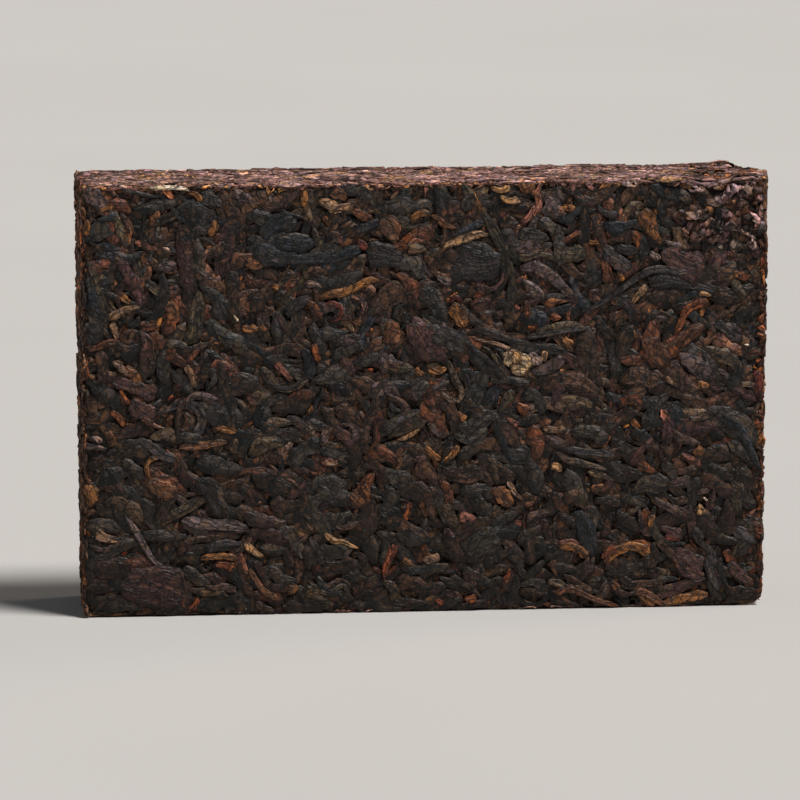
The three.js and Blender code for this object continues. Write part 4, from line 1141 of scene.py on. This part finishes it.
        (1.8, 4.3, 22, 5.3, 20.1, 6.6, 18), (3.2, 13.8, 29.9, 14.6, 28.6),
        (1.2, 28.2, 3.5, 30.3, 4, 31.8, 4.5), (1.2, 45.9, 4.5, 48.2, 3.4, 50.9, 3.6, 52.4, 4.3),
        (1.4, 42.6, 20.2, 43.9, 20.5),
    ],
    "ink": [
        (1.6, -66.4, 82.4, -63.8, 82.5), (2.8, -69.1, 69.6, -68.7, 66.3, -67.6, 63.2, -67.1, 61.6),
        (2.6, -21.8, 73.1, -18.7, 72.5, -16.1, 73), (1.6, -14.1, 79.4, -12, 80.1, -10, 81.1),
        (2.2, 28.5, 81.7, 31.1, 81.9), (1.4, 25, 61.6, 27.1, 62.1, 29.9, 63.1),
        (3, 38.3, 79.7, 40.4, 79.2, 42.4, 79.7), (1.8, 44.8, 76.8, 44.9, 75, 44.8, 73.2),
        (1.2, 51.9, 63.5, 53.9, 64.5, 56, 65.3, 59.1, 65), (2.4, -24.4, 54.1, -23.8, 52, -24.2, 50.2),
        (1.4, 14.6, 39.2, 15.9, 35.3, 18, 30.6), (1.2, 37.8, 44.8, 39.4, 43.7, 41.2, 44, 43, 45),
        (2, 45.9, 38.7, 47.4, 38.9, 49.2, 39.2), (2.2, 51.2, 41.6, 52.4, 39.1, 53.7, 36.6),
        (1.2, -40.2, 10.8, -39.2, 9, -37.9, 6.1), (1.6, -22, 7.3, -19.7, 4.4, -17.1, 4.4),
        (2.6, 14.7, 17.3, 16.2, 16.5, 18, 15.7), (1.2, 46.7, 6.6, 49.3, 6, 52.4, 5.9),
        (1.2, 61, 9.7, 61.5, 7.1, 62.6, 4.2),
    ],
    "olive2": [
        (1.6, -63.6, 83.5, -62.6, 81, -62, 79, -60.9, 76.7),
        (1.5, -69, 73.2, -67.7, 70.9, -67.2, 67.8, -66.1, 65, -64.6, 61.6),
        (1.4, -22.8, 79.5, -22.3, 77.4, -21.8, 76.2),
        (1.2, 18.5, 73.3, 20.6, 73.1, 22.9, 73.8, 25.2, 73.7, 26.8, 72.7),
        (1.6, 63.5, 67.3, 64.8, 65.7, 65.6, 64.4), (1.2, -7.1, 51.2, -5.1, 50.5, -2.7, 50.8),
        (3.2, -34.6, 35.2, -32.8, 35.6, -30.6, 34.5), (2.6, 16.1, 43.9, 17.4, 43.3),
        (2, -24.3, 5, -22.8, 4, -21, 3.1), (1.3, 48.2, 8.1, 49.8, 7.3, 50.6, 6.5),
    ],
    "tan2": [
        (1.4, -24.6, 84.6, -24.1, 82.6, -24.3, 81.6), (2.8, -54.5, 38.3, -53.2, 37.7, -52.2, 36.7),
        (1.8, 63.2, 75.8, 64.2, 75.8), (1.8, -32.8, 38.8, -31.2, 39.8, -28.2, 39.9),
        (1.2, 4.8, 51.8, 6.1, 48.2, 7.5, 45.8, 7.1, 44.1, 5.5, 43.9, 3.2, 45.6),
        (2.6, 53.4, 40.8, 55.5, 40.1, 57.8, 39.9), (1.2, 65.3, 46.5, 67.4, 46.2),
        (2.4, -65, 23.7, -63.5, 24.2, -61.7, 23.1, -59.7, 22.3, -58.7, 20.2),
    ],
    "gold2": [
        (1.2, -54.6, 83.4, -55.8, 82.2, -55.9, 81), (1.6, -61, 80, -60.5, 77.9),
        (2.4, -60.3, 50.7, -58.8, 49.2), (1.4, -59.6, 45.8, -58.1, 44.5),
        (1.2, -65.5, 38.2, -64.5, 36.9, -64, 35.8), (1.6, 19.7, 87.9, 21, 87.4, 21.8, 88.4),
        (0.9, 2.6, 81.7, 3.3, 80.4, 4.9, 79.9), (1.2, 25, 63.9, 26.8, 64, 28.9, 64.1),
        (1.6, 66.9, 90.2, 68.7, 89.7, 69.4, 87.9), (1.2, 64, 69.1, 66.3, 68.8),
    ],
    "gold3": [
        (1.2, -21.6, 85.3, -20, 85.1, -18.2, 84.8), (1, -20.2, 84.1, -18.7, 83.3, -17.2, 83.8),
        (1.2, 45.3, 66.9, 44.2, 65.5, 42.8, 63.7), (0.9, -5.5, 35.9, -3.2, 36.7, -0.7, 38.4),
    ],
    "gold": [
        (1.4, -24.8, 87.3, -24.8, 84.9), (1.2, 27.5, 82.2, 28.2, 83.2, 29.5, 83.3, 30.3, 83.2),
        (1.6, 53.2, 88.3, 55, 88), (1.2, 39.9, 69.4, 40.5, 68.9),
    ],
    "pale2": [
        (0.7, -53.6, 76.2, -52.1, 75.7), (1, -68.5, 37, -67.3, 37.2, -66.5, 36.4),
        (1, 40.3, 88.3, 42.1, 88.2, 43.7, 87.9), (2, 56.6, 88.3, 58.1, 88, 59.4, 87.5),
        (1.6, 59.9, 88.5, 61.5, 89, 63, 89.5), (1.4, 56.3, 83.9, 57.4, 84.4, 59.7, 84.4),
        (1.2, 59.9, 85.9, 61, 84.6, 62.3, 84.3),
        (0.7, 56.9, 81.8, 58.4, 81, 60.5, 80, 62.3, 78.9, 64.2, 78.4, 66.2, 77.6, 67.8, 76.3),
        (1, 61.1, 77.6, 62.9, 77.6),
    ],
    "grey2": [
        (1.2, 2.6, 69.7, 3.6, 68.9, 5.2, 68.6), (1, 21.1, 65.8, 22.4, 65.6),
        (1.4, 61.8, 83.3, 63.6, 84.3, 65.6, 85.3, 67.2, 84.8, 68.8, 84),
        (1.2, 49.7, 76, 51.3, 75.4, 52.8, 75.4), (1.2, 65.6, 16.2, 66.6, 15.4),
    ],
    "salmon": [
        (1, -59, 77.4, -57.7, 76.9, -56.3, 76),
        (1.2, 23.8, 88.4, 22.9, 87.1, 23.1, 85.3, 23.3, 83.5, 21.8, 82, 19.8, 80.5),
        (1.4, -21.2, 31.9, -19.4, 31.6, -17.4, 31.2), (1.5, 53.5, 31.9, 55.3, 30.7, 56.5, 29.5),
    ],
    "orange": [
        (1.4, -62.4, 46.9, -61.9, 45.6, -61.1, 44.6),
    ],
    "russet": [
        (1.8, 63.6, 82.5, 65.4, 82.6, 67, 82.2),
    ],
    "russet2": [
        (0.8, 55.2, 73.1, 56.5, 71.8, 57.5, 70.4),
    ],
    "plum": [
        (3.4, -49.4, 80.1, -49.3, 76.8, -49.2, 73.7, -48.5, 70.6, -47.8, 67.5),
        (3, -40.1, 79.7, -40.6, 76.7, -41.8, 73.6, -42.2, 70),
        (2.4, -55.9, 2.8, -53.3, 1.4, -52.1, 0.3),
    ],
    "plum2": [
        (2.4, -59.7, 70.3, -58.7, 68.2, -58.2, 66.1, -58.4, 64.3),
    ],
    "dark": [
        (2.2, -54.1, 70.7, -53.5, 68.6, -54, 65.6, -54.7, 62.5),
    ],
}


PLATE_WIDTH = 4.5  # mm: wider leaves are plates, which only the front has
FULLER = 1.2  # times the width written down, because the leaf's tips taper
STUBBY_TURN = 1.6  # radians, for a leaf made twice as long as it was
WIDER_LOWER = 0.035  # mm that a small leaf lies lower for each mm of its width


def laid_out(chance, table, turned, tips, slender):
    """Widths, middle lines and colours of the leaves of a table, turned round for the back, with
    tips that reach past both ends by a share of the width. Leaves less than 'slender' times as
    long as wide are made longer and narrower, and turned a little."""
    widths, paths, colours = [], [], []
    for colour_name, leaves in table.items():
        for width, *places in leaves:
            if turned < 0 and width > PLATE_WIDTH:
                continue
            line = np.reshape(places, (-1, 2)) - (0.0, MIDDLE[2])
            length = np.hypot(*np.diff(line, axis=0).T).sum() + 2.0 * tips * width
            width *= FULLER
            slimmer = max(1.0, math.sqrt(slender * width / length))
            longer = tips * width / FULLER + 0.5 * (slimmer - 1.0) * length
            for end, beside in ((0, 1), (-1, -2)):
                along = line[end] - line[beside]
                line[end] += along * (longer / np.hypot(*along))
            angle = STUBBY_TURN * (slimmer - 1.0) * chance.normal(0.0, 1.0)
            sine, cosine = math.sin(angle), math.cos(angle)
            middle = line.mean(axis=0)
            line = (line - middle) @ np.array([[cosine, sine], [-sine, cosine]]) + middle
            widths.append(width / slimmer)
            paths.append(line * turned)
            colours.append(linear(CHOSEN_COLOURS[colour_name]))
    return np.array(widths), paths, np.array(colours)


# Painted shade: leaves of the large faces darker towards the foot and lighter towards the top, and
# warmer towards the foot.
LOW_SHADE = 0.4  # share that a leaf at the foot is darker, and one at the top lighter
LOW_WARMTH = np.array((0.1, -0.1, -0.35))  # shares of red, green and blue gained at the foot
FOOT_SHADE = 0.18  # share that the lowest leaves are darker still


def painted_shade_below(face, v, colours):
    """Colours of leaves with painted shade, darker low on the face and lighter high on it, as if
    the light fell off towards the foot; they are also warmer low on the face.
    """
    up = (v * face.across[2] / face.half[1])[:, None]
    low = np.clip(-up, 0.0, 1.0)
    shade = (1.0 + LOW_SHADE * up) * (1.0 - FOOT_SHADE * low**2)
    return colours * shade * (1.0 + low * LOW_WARMTH)


chance = np.random.default_rng(40)
batches = []
for name, turned, kind, table, tips, slender, low, high in (
    ("front", 1, CHOSEN_LEAF, CHOSEN_LEAVES, 0.0, 1.6, -0.03, 0.12),
    ("back", -1, CHOSEN_LEAF, CHOSEN_LEAVES, 0.0, 1.6, -0.05, 0.12),
    ("front", 1, FRONT_LEAF, FRONT_LEAVES, 0.4, 2.6, -0.03, 0.03),
):
    widths, paths, colours = laid_out(chance, table, turned, tips, slender)
    lines = chosen_lines(paths, kind["rows"])
    heights = chance.uniform(low, high, len(widths))
    if table is FRONT_LEAVES:
        heights -= WIDER_LOWER * widths
        # painted shade, darker towards the foot
        colours = painted_shade_below(FACES[name], lines[1].mean(axis=1), colours)
    batches.append(
        pressed_leaves(FACES[name], kind, chance, lines, widths, heights, colours, 0.0)
    )
leaf_piece("chosen_leaves", batches, leaf_finish("chosen_leaf", 0.54, 0.5, 0.6, 0.7, STAIN))

# ---------------------------------------------------------------------------------------------
# Long strips: whole leaves rolled lengthwise before they dried, the largest on the brick. They
# lie flush with the pressed face, with creases along them where the roll was flattened.
LONG_STRIP = dict(
    rows=15, columns=9, length=(11, 20), width=(1.8, 3.0), bend=1.3, blunt=(3.0, 8.0), ragged=0.09,
    edge=0.4, arch=0.1, folds=(2.0, 4.5), fold_height=(0.04, 0.13), crease=(0.05, 0.2), tilt=0.06,
    sway=0.07, crumple=0.02, depth=(0.0, 0.3), stray=1.0,
    flush=0.1, edge_dark=0.95, fade=12,
)
FRONT_DEEPER = 0.12  # mm that leaves lie deeper on the front, under the chosen ones
EVEN_STEPS = (0.7548776662, 0.5698402910)  # by which a sequence fills a square evenly
DARK_LEAF = [
    ("#2a1e18", 4), ("#1c1917", 3), ("#2e261c", 3), ("#16191c", 4), ("#35221a", 3), ("#1f201e", 2),
]


def drawn_colours(chance, count, palette, spread):
    """A colour for each leaf from the palette of (colour, share), lighter or darker by chance."""
    shares = np.array([share for _, share in palette])
    chosen = chance.choice(len(palette), count, p=shares / shares.sum())
    colours = np.array([linear(text) for text, _ in palette])[chosen]
    value = np.exp(chance.normal(0.0, spread, count))[:, None]
    tint = np.exp(chance.normal(0.0, 0.035, (count, 3)))
    return colours * value * tint


def swirl(u, v):
    """The way leaves lie on a large face, in radians: they swirl as the loose tea settled."""
    return 1.7 * np.sin(u / 19.0 + v / 31.0 + 0.6) + 1.5 * np.cos(v / 14.0 - u / 43.0)


def along_side(u, v):
    """On a narrow side the leaves run along the side."""
    return np.zeros_like(u)


def settled_lines(chance, kind, angles, centres_u, centres_v):
    """Middle lines of leaves that settled by themselves: u, v, heading and length."""
    count = len(angles)
    s = stations(kind["rows"])
    length = chance.uniform(*kind["length"], count)[:, None]
    turn = chance.normal(0.0, kind["bend"], count)[:, None]
    sway = chance.normal(0.0, kind["bend"] * 0.35, count)[:, None]
    phase = chance.uniform(0.0, 6.28, count)[:, None]
    heading = angles[:, None] + turn * (s - 0.5) + sway * np.sin(2 * math.pi * s + phase)
    step = np.diff(s, prepend=0.0)[None, :] * length
    line_u = np.cumsum(np.cos(heading) * step, axis=1)
    line_v = np.cumsum(np.sin(heading) * step, axis=1)
    line_u += centres_u[:, None] - line_u.mean(axis=1, keepdims=True)
    line_v += centres_v[:, None] - line_v.mean(axis=1, keepdims=True)
    return line_u, line_v, heading, length


def settled(face, kind, chance, centres, palette, spread, turned, shows):
    """Leaves of one kind with their middles at the centres, in palette colours."""
    u, v = centres
    count = len(u)
    angles = turned(u, v) + chance.normal(0.0, kind["stray"], count)
    lines = settled_lines(chance, kind, angles, u, v)
    width = chance.uniform(*kind["width"], count)
    heights = -chance.uniform(*kind["depth"], count) - FRONT_DEEPER * (face.name == "front")
    colours = drawn_colours(chance, count, palette, spread)
    if face.name in LARGE:
        # painted shade, darker towards the foot
        colours = painted_shade_below(face, v, colours)
    return pressed_leaves(face, kind, chance, lines, width, heights, colours, shows)


def everywhere(chance, face, count):
    """Places spread evenly over the face, by a low-discrepancy sequence shifted by chance."""
    number = np.arange(count) + chance.integers(1000)
    shift = chance.uniform(0, 1, 2)
    u = (shift[0] + number * EVEN_STEPS[0]) % 1.0
    v = (shift[1] + number * EVEN_STEPS[1]) % 1.0
    stray = chance.normal(0.0, 0.8, (2, count))
    return (2 * u - 1) * face.half[0] + stray[0], (2 * v - 1) * face.half[1] + stray[1]


def in_gaps(chance, face, count, below):
    """Places where the face is still lower than 'below'."""
    low_i, low_j = np.nonzero(face.cover < below)
    picked = chance.integers(0, len(low_i), count)
    stray = chance.normal(0.0, 0.3, (2, count))
    u = low_i[picked] * COVER_STEP - face.half[0] + stray[0]
    v = low_j[picked] * COVER_STEP - face.half[1] + stray[1]
    return u, v


def strewn(name, seed, layers, finish):
    """One piece of leaves on both large faces. Each layer gives its kind, its colours and how far
    they vary, how many leaves, the square mm that must show of each and, where the leaves fill
    gaps, the height below which a gap lies."""
    chance = np.random.default_rng(seed)
    batches = []
    for face in (FACES[side] for side in LARGE):
        for kind, palette, spread, count, shows, *below in layers:
            if below:
                centres = in_gaps(chance, face, count, *below)
            else:
                centres = everywhere(chance, face, count)
            batches.append(settled(face, kind, chance, centres, palette, spread, swirl, shows))
    leaf_piece(name, batches, finish)


layers = [(LONG_STRIP, DARK_LEAF, 0.45, 130, 4.0)]
strewn("long_strips", 41, layers, leaf_finish("dark_leaf", 0.55, 0.4, 0.5, 0.4))

# ---------------------------------------------------------------------------------------------
# Stems: slender twigs and leaf stalks, tough and round, which bend but don't flatten.
STEM = dict(
    LONG_STRIP, columns=5, length=(8, 20), width=(0.8, 1.4), bend=0.9, blunt=(6.0, 12.0),
    ragged=0.06, arch=0.16, folds=(0.6, 1.2), fold_height=(0.01, 0.04), crease=(0.0, 0.1),
    tilt=0.05, sway=0.08, crumple=0.015, depth=(0.0, 0.2), stray=1.4,
)
STEM_BARK = [("#2a1f1a", 5), ("#3a2922", 4), ("#4a352e", 2), ("#211c1b", 3)]
layers = [(STEM, STEM_BARK, 0.25, 36, 2.0)]
strewn("stems", 49, layers, leaf_finish("stem_bark", 0.5, 0.5, 0.3, 0.3))

# ---------------------------------------------------------------------------------------------
# Rolled strips: most of the brick's leaves, black-brown to brown, twisted and then pressed flat.
ROLLED_STRIP = dict(
    LONG_STRIP, rows=8, columns=7, length=(5, 13), width=(1.6, 3.4), bend=1.5, blunt=(4.0, 12.0),
    ragged=0.13, arch=0.08, folds=(1.6, 3.6), crease=(0.0, 0.22), tilt=0.08, sway=0.06,
    depth=(0.0, 0.5), stray=1.4, fade=10,
)
layers = [(ROLLED_STRIP, DARK_LEAF, 0.6, 720, 3.0)]
strewn("rolled_strips", 42, layers, leaf_finish("rolled_leaf", 0.55, 0.4, 0.6, 0.5))

# ---------------------------------------------------------------------------------------------
# Russet strips and curls: less fermented leaves, which stay redder and lighter than the rest.
CURL = dict(
    LONG_STRIP, rows=9, columns=5, length=(4, 10), width=(0.9, 1.9), bend=2.6, ragged=0.1,
    arch=0.12, folds=(1.4, 2.6), fold_height=(0.04, 0.11), crease=(0.0, 0.15), sway=0.06,
    depth=(0.0, 0.4), stray=2.5, fade=8,
)
RUSSET_LEAF = [("#48291d", 4), ("#3b251a", 5), ("#573524", 2), ("#3a281c", 4)]
layers = [
    (ROLLED_STRIP, RUSSET_LEAF, 0.25, 260, 2.5),
    (CURL, RUSSET_LEAF + DARK_LEAF, 0.4, 300, 1.5),
]
strewn("russet_strips", 43, layers, leaf_finish("russet_leaf", 0.56, 0.45, 0.6, 0.3))

# ---------------------------------------------------------------------------------------------
# Broken flakes: pieces of leaf blade that lay flat, wide for their length, with torn outlines.
# Some lie on top, and a layer of larger ones lies under the strips and shows between them.
FLAKE = dict(
    LONG_STRIP, rows=6, columns=6, length=(3.5, 8), width=(2.6, 5.2), bend=0.5, blunt=(4.0, 10.0),
    ragged=0.2, edge=0.35, arch=0.03, folds=(1.6, 4.0), crease=(0.0, 0.2), tilt=0.1, sway=0.08,
    crumple=0.03, depth=(0.15, 0.6), stray=1.6, fade=10,
)
UNDER_FLAKE = dict(FLAKE, length=(5, 10), width=(3.5, 6.5), depth=(0.5, 0.75), rows=7)
FLAKE_LEAF = [("#271d17", 5), ("#33241a", 4), ("#3f2a1e", 3), ("#191817", 4)]
layers = [(FLAKE, FLAKE_LEAF, 0.55, 480, 2.0)]
layers += [(UNDER_FLAKE, FLAKE_LEAF, 0.35, 320, 0.8, -0.75)] * 2
strewn("broken_flakes", 44, layers, leaf_finish("flake_leaf", 0.54, 0.3, 0.8, 0.7))

# ---------------------------------------------------------------------------------------------
# Small bits: ends and shreds of leaf that fill the places between the strips.
BIT = dict(
    LONG_STRIP, rows=4, columns=5, length=(2.0, 5.5), width=(0.9, 2.3), bend=1.2,
    blunt=(3.0, 9.0), ragged=0.22, edge=0.35, arch=0.05, folds=(0.8, 2.4),
    fold_height=(0.04, 0.12), crease=(0.0, 0.15), tilt=0.1, sway=0.06, crumple=0.03,
    depth=(0.1, 0.6), stray=2.0, edge_dark=0.9, fade=8,
)
BIT_LEAF = [("#271d17", 5), ("#38261b", 4), ("#4a3020", 3), ("#1a1817", 4), ("#6a4427", 1.5)]
layers = [(BIT, BIT_LEAF, 0.45, 450, 0.8)]
layers += [(BIT, BIT_LEAF, 0.45, 500, 0.5, -0.7)] * 2
strewn("leaf_bits", 45, layers, leaf_finish("bit_leaf", 0.56, 0.4, 0.8, 0.6))

# ---------------------------------------------------------------------------------------------
# Golden buds: the tips of young shoots, which keep their pale hairs and stay gold to orange.
BUD = dict(
    LONG_STRIP, rows=8, columns=7, length=(3, 8), width=(0.9, 2.0), bend=0.8, blunt=(2.0, 4.5),
    ragged=0.1, arch=0.12, folds=(1.2, 2.6), fold_height=(0.03, 0.1), crease=(0.03, 0.2),
    tilt=0.08, sway=0.06, depth=(0.1, 0.5), stray=1.6, edge_dark=0.9, fade=5,
)
BUD_LEAF = [("#8a5a2c", 3), ("#7a4a25", 4), ("#a06a35", 1), ("#6a4226", 4)]
layers = [(BUD, BUD_LEAF, 0.25, 30, 0.5)]
strewn("golden_buds", 47, layers, leaf_finish("bud_leaf", 0.5, 0.7, 0.4, 0.8, STAIN))

# ---------------------------------------------------------------------------------------------
# Crumbs: specks of gold, tan and orange leaf caught between the strips.
CRUMB = dict(
    LONG_STRIP, rows=3, columns=5, length=(0.8, 2.4), width=(0.6, 1.3), bend=0.8,
    blunt=(2.0, 5.0), ragged=0.22, edge=0.3, folds=(0.5, 1.6), fold_height=(0.02, 0.08),
    crease=(0.0, 0.1), tilt=0.1, sway=0.05, crumple=0.03, depth=(0.15, 0.55), stray=3.0,
    edge_dark=0.85, fade=6,
)
CRUMB_LEAF = [("#8a5a2c", 3), ("#7a4a25", 4), ("#b0854a", 1), ("#5a3a26", 6), ("#8a3f1e", 1)]
layers = [(CRUMB, CRUMB_LEAF, 0.3, 240, 0.2)]
strewn("crumbs", 48, layers, leaf_finish("crumb_leaf", 0.56, 0.5, 0.5, 0.7, STAIN))

# ---------------------------------------------------------------------------------------------
# Edge layers: on the narrow sides the leaves lie edge-on, in thin broken layers that run along
# the side, rough to the touch and paler than the pressed faces, because nothing smoothed them.
LAYER = dict(
    LONG_STRIP, rows=5, columns=5, length=(1.8, 6), width=(0.7, 1.8), bend=0.8, blunt=(2.2, 6.0),
    ragged=0.25, edge=0.5, arch=0.06, folds=(0.6, 1.8), fold_height=(0.03, 0.15),
    crease=(0.0, 0.2), tilt=0.35, sway=0.2, crumple=0.07, depth=(-0.3, 0.5), stray=0.5, flush=0.4,
    edge_dark=0.6,
)
UNDER_LAYER = dict(LAYER, length=(3, 9), width=(1.6, 3.4), tilt=0.15, sway=0.1, depth=(0.0, 0.5))
TOP_LAYER = dict(LAYER, length=(3, 12), width=(0.8, 2.2), bend=0.5)
LAYER_LEAF = [
    ("#8d7069", 4), ("#7e5f57", 4), ("#997a70", 3), ("#664a40", 3), ("#a27c56", 1), ("#433129", 1),
]
SIDE_LAYER_LEAF = [("#5e4330", 4), ("#4c3424", 4), ("#6e4a30", 2), ("#332620", 4), ("#8a5630", 1)]
SIDE_COUNT, UNDER_COUNT = 1250, 450  # leaves on a side as long as the top, and underneath
PALER_FROM, PALER_OVER = 24.0, 8.0  # mm above the middle of the left side, where it turns paler
PALER_TOP = np.array((1.0, 0.85, 0.9))  # shares of red, green and blue gained there
chance = np.random.default_rng(46)
for piece_name, names, palette in (
    ("top_layers", ("top", "under"), LAYER_LEAF),
    ("side_layers", ("left", "right"), SIDE_LAYER_LEAF),
):
    batches = []
    for name in names:
        face = FACES[name]
        kind = {"under": UNDER_LAYER, "top": TOP_LAYER}.get(name, LAYER)
        whole = UNDER_COUNT if name == "under" else SIDE_COUNT
        count = int(whole * face.half[0] / FACES["top"].half[0])
        centres = everywhere(chance, face, count)
        batch = settled(face, kind, chance, centres, palette, 0.2, along_side, 0.6)
        if name == "left":
            high = fade_in(batch.u.mean(axis=(1, 2)) - PALER_FROM, PALER_OVER)
            batch.colour *= 1.0 + high[:, None, None, None] * PALER_TOP
        batches.append(batch)
    leaf_piece(piece_name, batches, leaf_finish(piece_name + "_leaf", 0.75, 0.7, 0.8, 0.3))

# ---------------------------------------------------------------------------------------------
# Loose chips: broken tea, tipped every way, that lines the crumbled corner of the front face.
CHIP = dict(
    LONG_STRIP, rows=6, columns=6, length=(1.5, 4.5), width=(0.7, 1.9), bend=1.4, ragged=0.25,
    arch=0.03, folds=(0.8, 2.4), fold_height=(0.05, 0.15), crease=(0.0, 0.2), tilt=0.4, sway=0.3,
    crumple=0.08, depth=(-0.6, 0.6), stray=0.6, flush=0.7, edge_dark=0.8,
)
CHIP_LEAF = [("#6a5048", 3), ("#4a342c", 4), ("#9a807a", 2), ("#2c2421", 3), ("#6a4a30", 1)]
TOP_CHIP_LEAF = [("#8a5a40", 3), ("#6a4636", 3), ("#a8683a", 2), ("#3a2a22", 3), ("#a88a80", 1)]
FRONT_CHIPS, TOP_CHIPS = 150, 70
CHIPS_WIDE, CHIPS_TALL = 6.0, 4.5  # mm, how far chips lie from the middle of the crumbled corner
chance = np.random.default_rng(50)
spots = chance.normal(0.0, 1.0, (2, FRONT_CHIPS))
centres = (
    LOSS_X + 1.0 + CHIPS_WIDE * spots[0],
    LOSS_Z - MIDDLE[2] + 1.0 + CHIPS_TALL * spots[1],
)
batches = [settled(FACES["front"], CHIP, chance, centres, CHIP_LEAF, 0.35, along_side, 0.4)]
centres = (chance.uniform(58.0, 69.0, TOP_CHIPS), chance.uniform(-11.0, 6.0, TOP_CHIPS))
batches.append(settled(FACES["top"], CHIP, chance, centres, TOP_CHIP_LEAF, 0.3, along_side, 0.4))
leaf_piece("loose_chips", batches, leaf_finish("chip_leaf", 0.55, 0.5, 1.0, 0.3))

# ---------------------------------------------------------------------------------------------
# Arris bits: short leaf ends along the right and top edges of the large faces and at the ends of
# the top. Those along the right edges are rust-orange, painted rim light where the warm light
# from behind on the right catches the edge; those along the top edges are pale.
ARRIS_BIT = dict(BIT, length=(1.2, 4.0), width=(0.6, 1.3), depth=(-0.05, 0.2), stray=0.5)
# Painted rim light: the rust-orange of the leaf ends along the right edges.
RIM_LIGHT_END = [("#6c3c20", 4), ("#562c18", 4), ("#8e5c30", 2), ("#3a241a", 4)]
PALE_END = [("#8e6355", 3), ("#a87848", 2), ("#6a4a3c", 4), ("#4a362e", 3)]


NEAR_END = 2.0  # mm
BESIDE_RIGHT, BESIDE_TOP, ON_END = 230, 260, 50  # bits on each edge


def along_arris(u, v):
    """Upright beside the right edge, level beside the top one."""
    return np.where(np.abs(u) > WIDE / 2.0 - NEAR_END, math.pi / 2.0, 0.0)


def arris_bits(face, palette, centres):
    """Bits with their middles at the centres, beside an edge of the face."""
    return settled(face, ARRIS_BIT, chance, centres, palette, 0.3, along_arris, 0.2)


chance = np.random.default_rng(51)
batches = []
for name, right in (("front", 1.0), ("back", -1.0)):
    face = FACES[name]
    top = face.across[2] * face.half[1]
    spread = chance.uniform(-1.0, 1.0, BESIDE_RIGHT)
    beside = chance.uniform(-0.4, 0.8, BESIDE_RIGHT)
    centres = (right * (face.half[0] - beside), spread * face.half[1])
    # painted rim light along the right edge
    batches.append(arris_bits(face, RIM_LIGHT_END, centres))
    spread = chance.uniform(-1.0, 1.0, BESIDE_TOP)
    beside = chance.uniform(-0.2, 0.5, BESIDE_TOP)
    centres = (spread * face.half[0], top * (1.0 - beside / face.half[1]))
    batches.append(arris_bits(face, PALE_END, centres))
face = FACES["top"]
for end in (-1.0, 1.0):
    beside = chance.uniform(-0.3, 0.6, ON_END)
    centres = (end * (face.half[0] - beside), chance.uniform(-1.0, 1.0, ON_END) * face.half[1])
    batches.append(arris_bits(face, PALE_END, centres))
leaf_piece("arris_bits", batches, leaf_finish("arris_leaf", 0.6, 0.5, 0.5, 0.3))

# ---------------------------------------------------------------------------------------------
# The set: a pale table top under a soft light from above and the right, with a lower warm light
# from behind on the right.
TABLE_SIZE = 60.0  # m, so that its far edge stays out of sight
SKY_COLOUR, SKY_STRENGTH = (0.62, 0.7, 0.78, 1.0), 0.12
bpy.ops.object.select_all(action="DESELECT")
bpy.ops.mesh.primitive_plane_add(size=TABLE_SIZE, location=(0.0, 0.0, 0.0))
floor = bpy.context.object
floor.name = "table_top"
floor_finish = Finish("table_top")
floor_place = floor_finish.node("ShaderNodeTexCoord")["Object"]
floor_tone = floor_finish.node(
    "ShaderNodeTexNoise", {}, {"Vector": floor_place, "Scale": 6.0, "Detail": 2.0}
)["Fac"]
floor_colour = floor_finish.mix(floor_tone, (0.46, 0.45, 0.44), (0.5, 0.49, 0.48))
floor.data.materials.append(floor_finish.surface({"Base Color": floor_colour, "Roughness": 0.8}))


def sun_light(name, towards, strength, softness, colour):
    """A far light that stands 'towards' the given way from the brick and is 'softness' wide."""
    light = bpy.data.lights.new(name, "SUN")
    light.energy = strength
    light.angle = math.radians(softness)
    light.color = colour
    lamp = bpy.data.objects.new(name, light)
    bpy.context.collection.objects.link(lamp)
    lamp.rotation_euler = (-Vector(towards)).to_track_quat("-Z", "Y").to_euler()


sun_light("window_light", (0.42, -0.27, 1.0), 4.0, 18.0, (1.0, 0.97, 0.93))
sun_light("back_light", (0.95, 0.3, 0.35), 0.8, 20.0, (1.0, 0.78, 0.6))
sun_light("side_light", (-0.9, 0.1, 0.3), 0.3, 40.0, (1.0, 0.92, 0.82))
world = bpy.data.worlds.new("studio")
bpy.context.scene.world = world
world.use_nodes = True
sky = world.node_tree.nodes["Background"]
sky.inputs["Color"].default_value = SKY_COLOUR
sky.inputs["Strength"].default_value = SKY_STRENGTH
bpy.context.scene.view_settings.view_transform = "Standard"
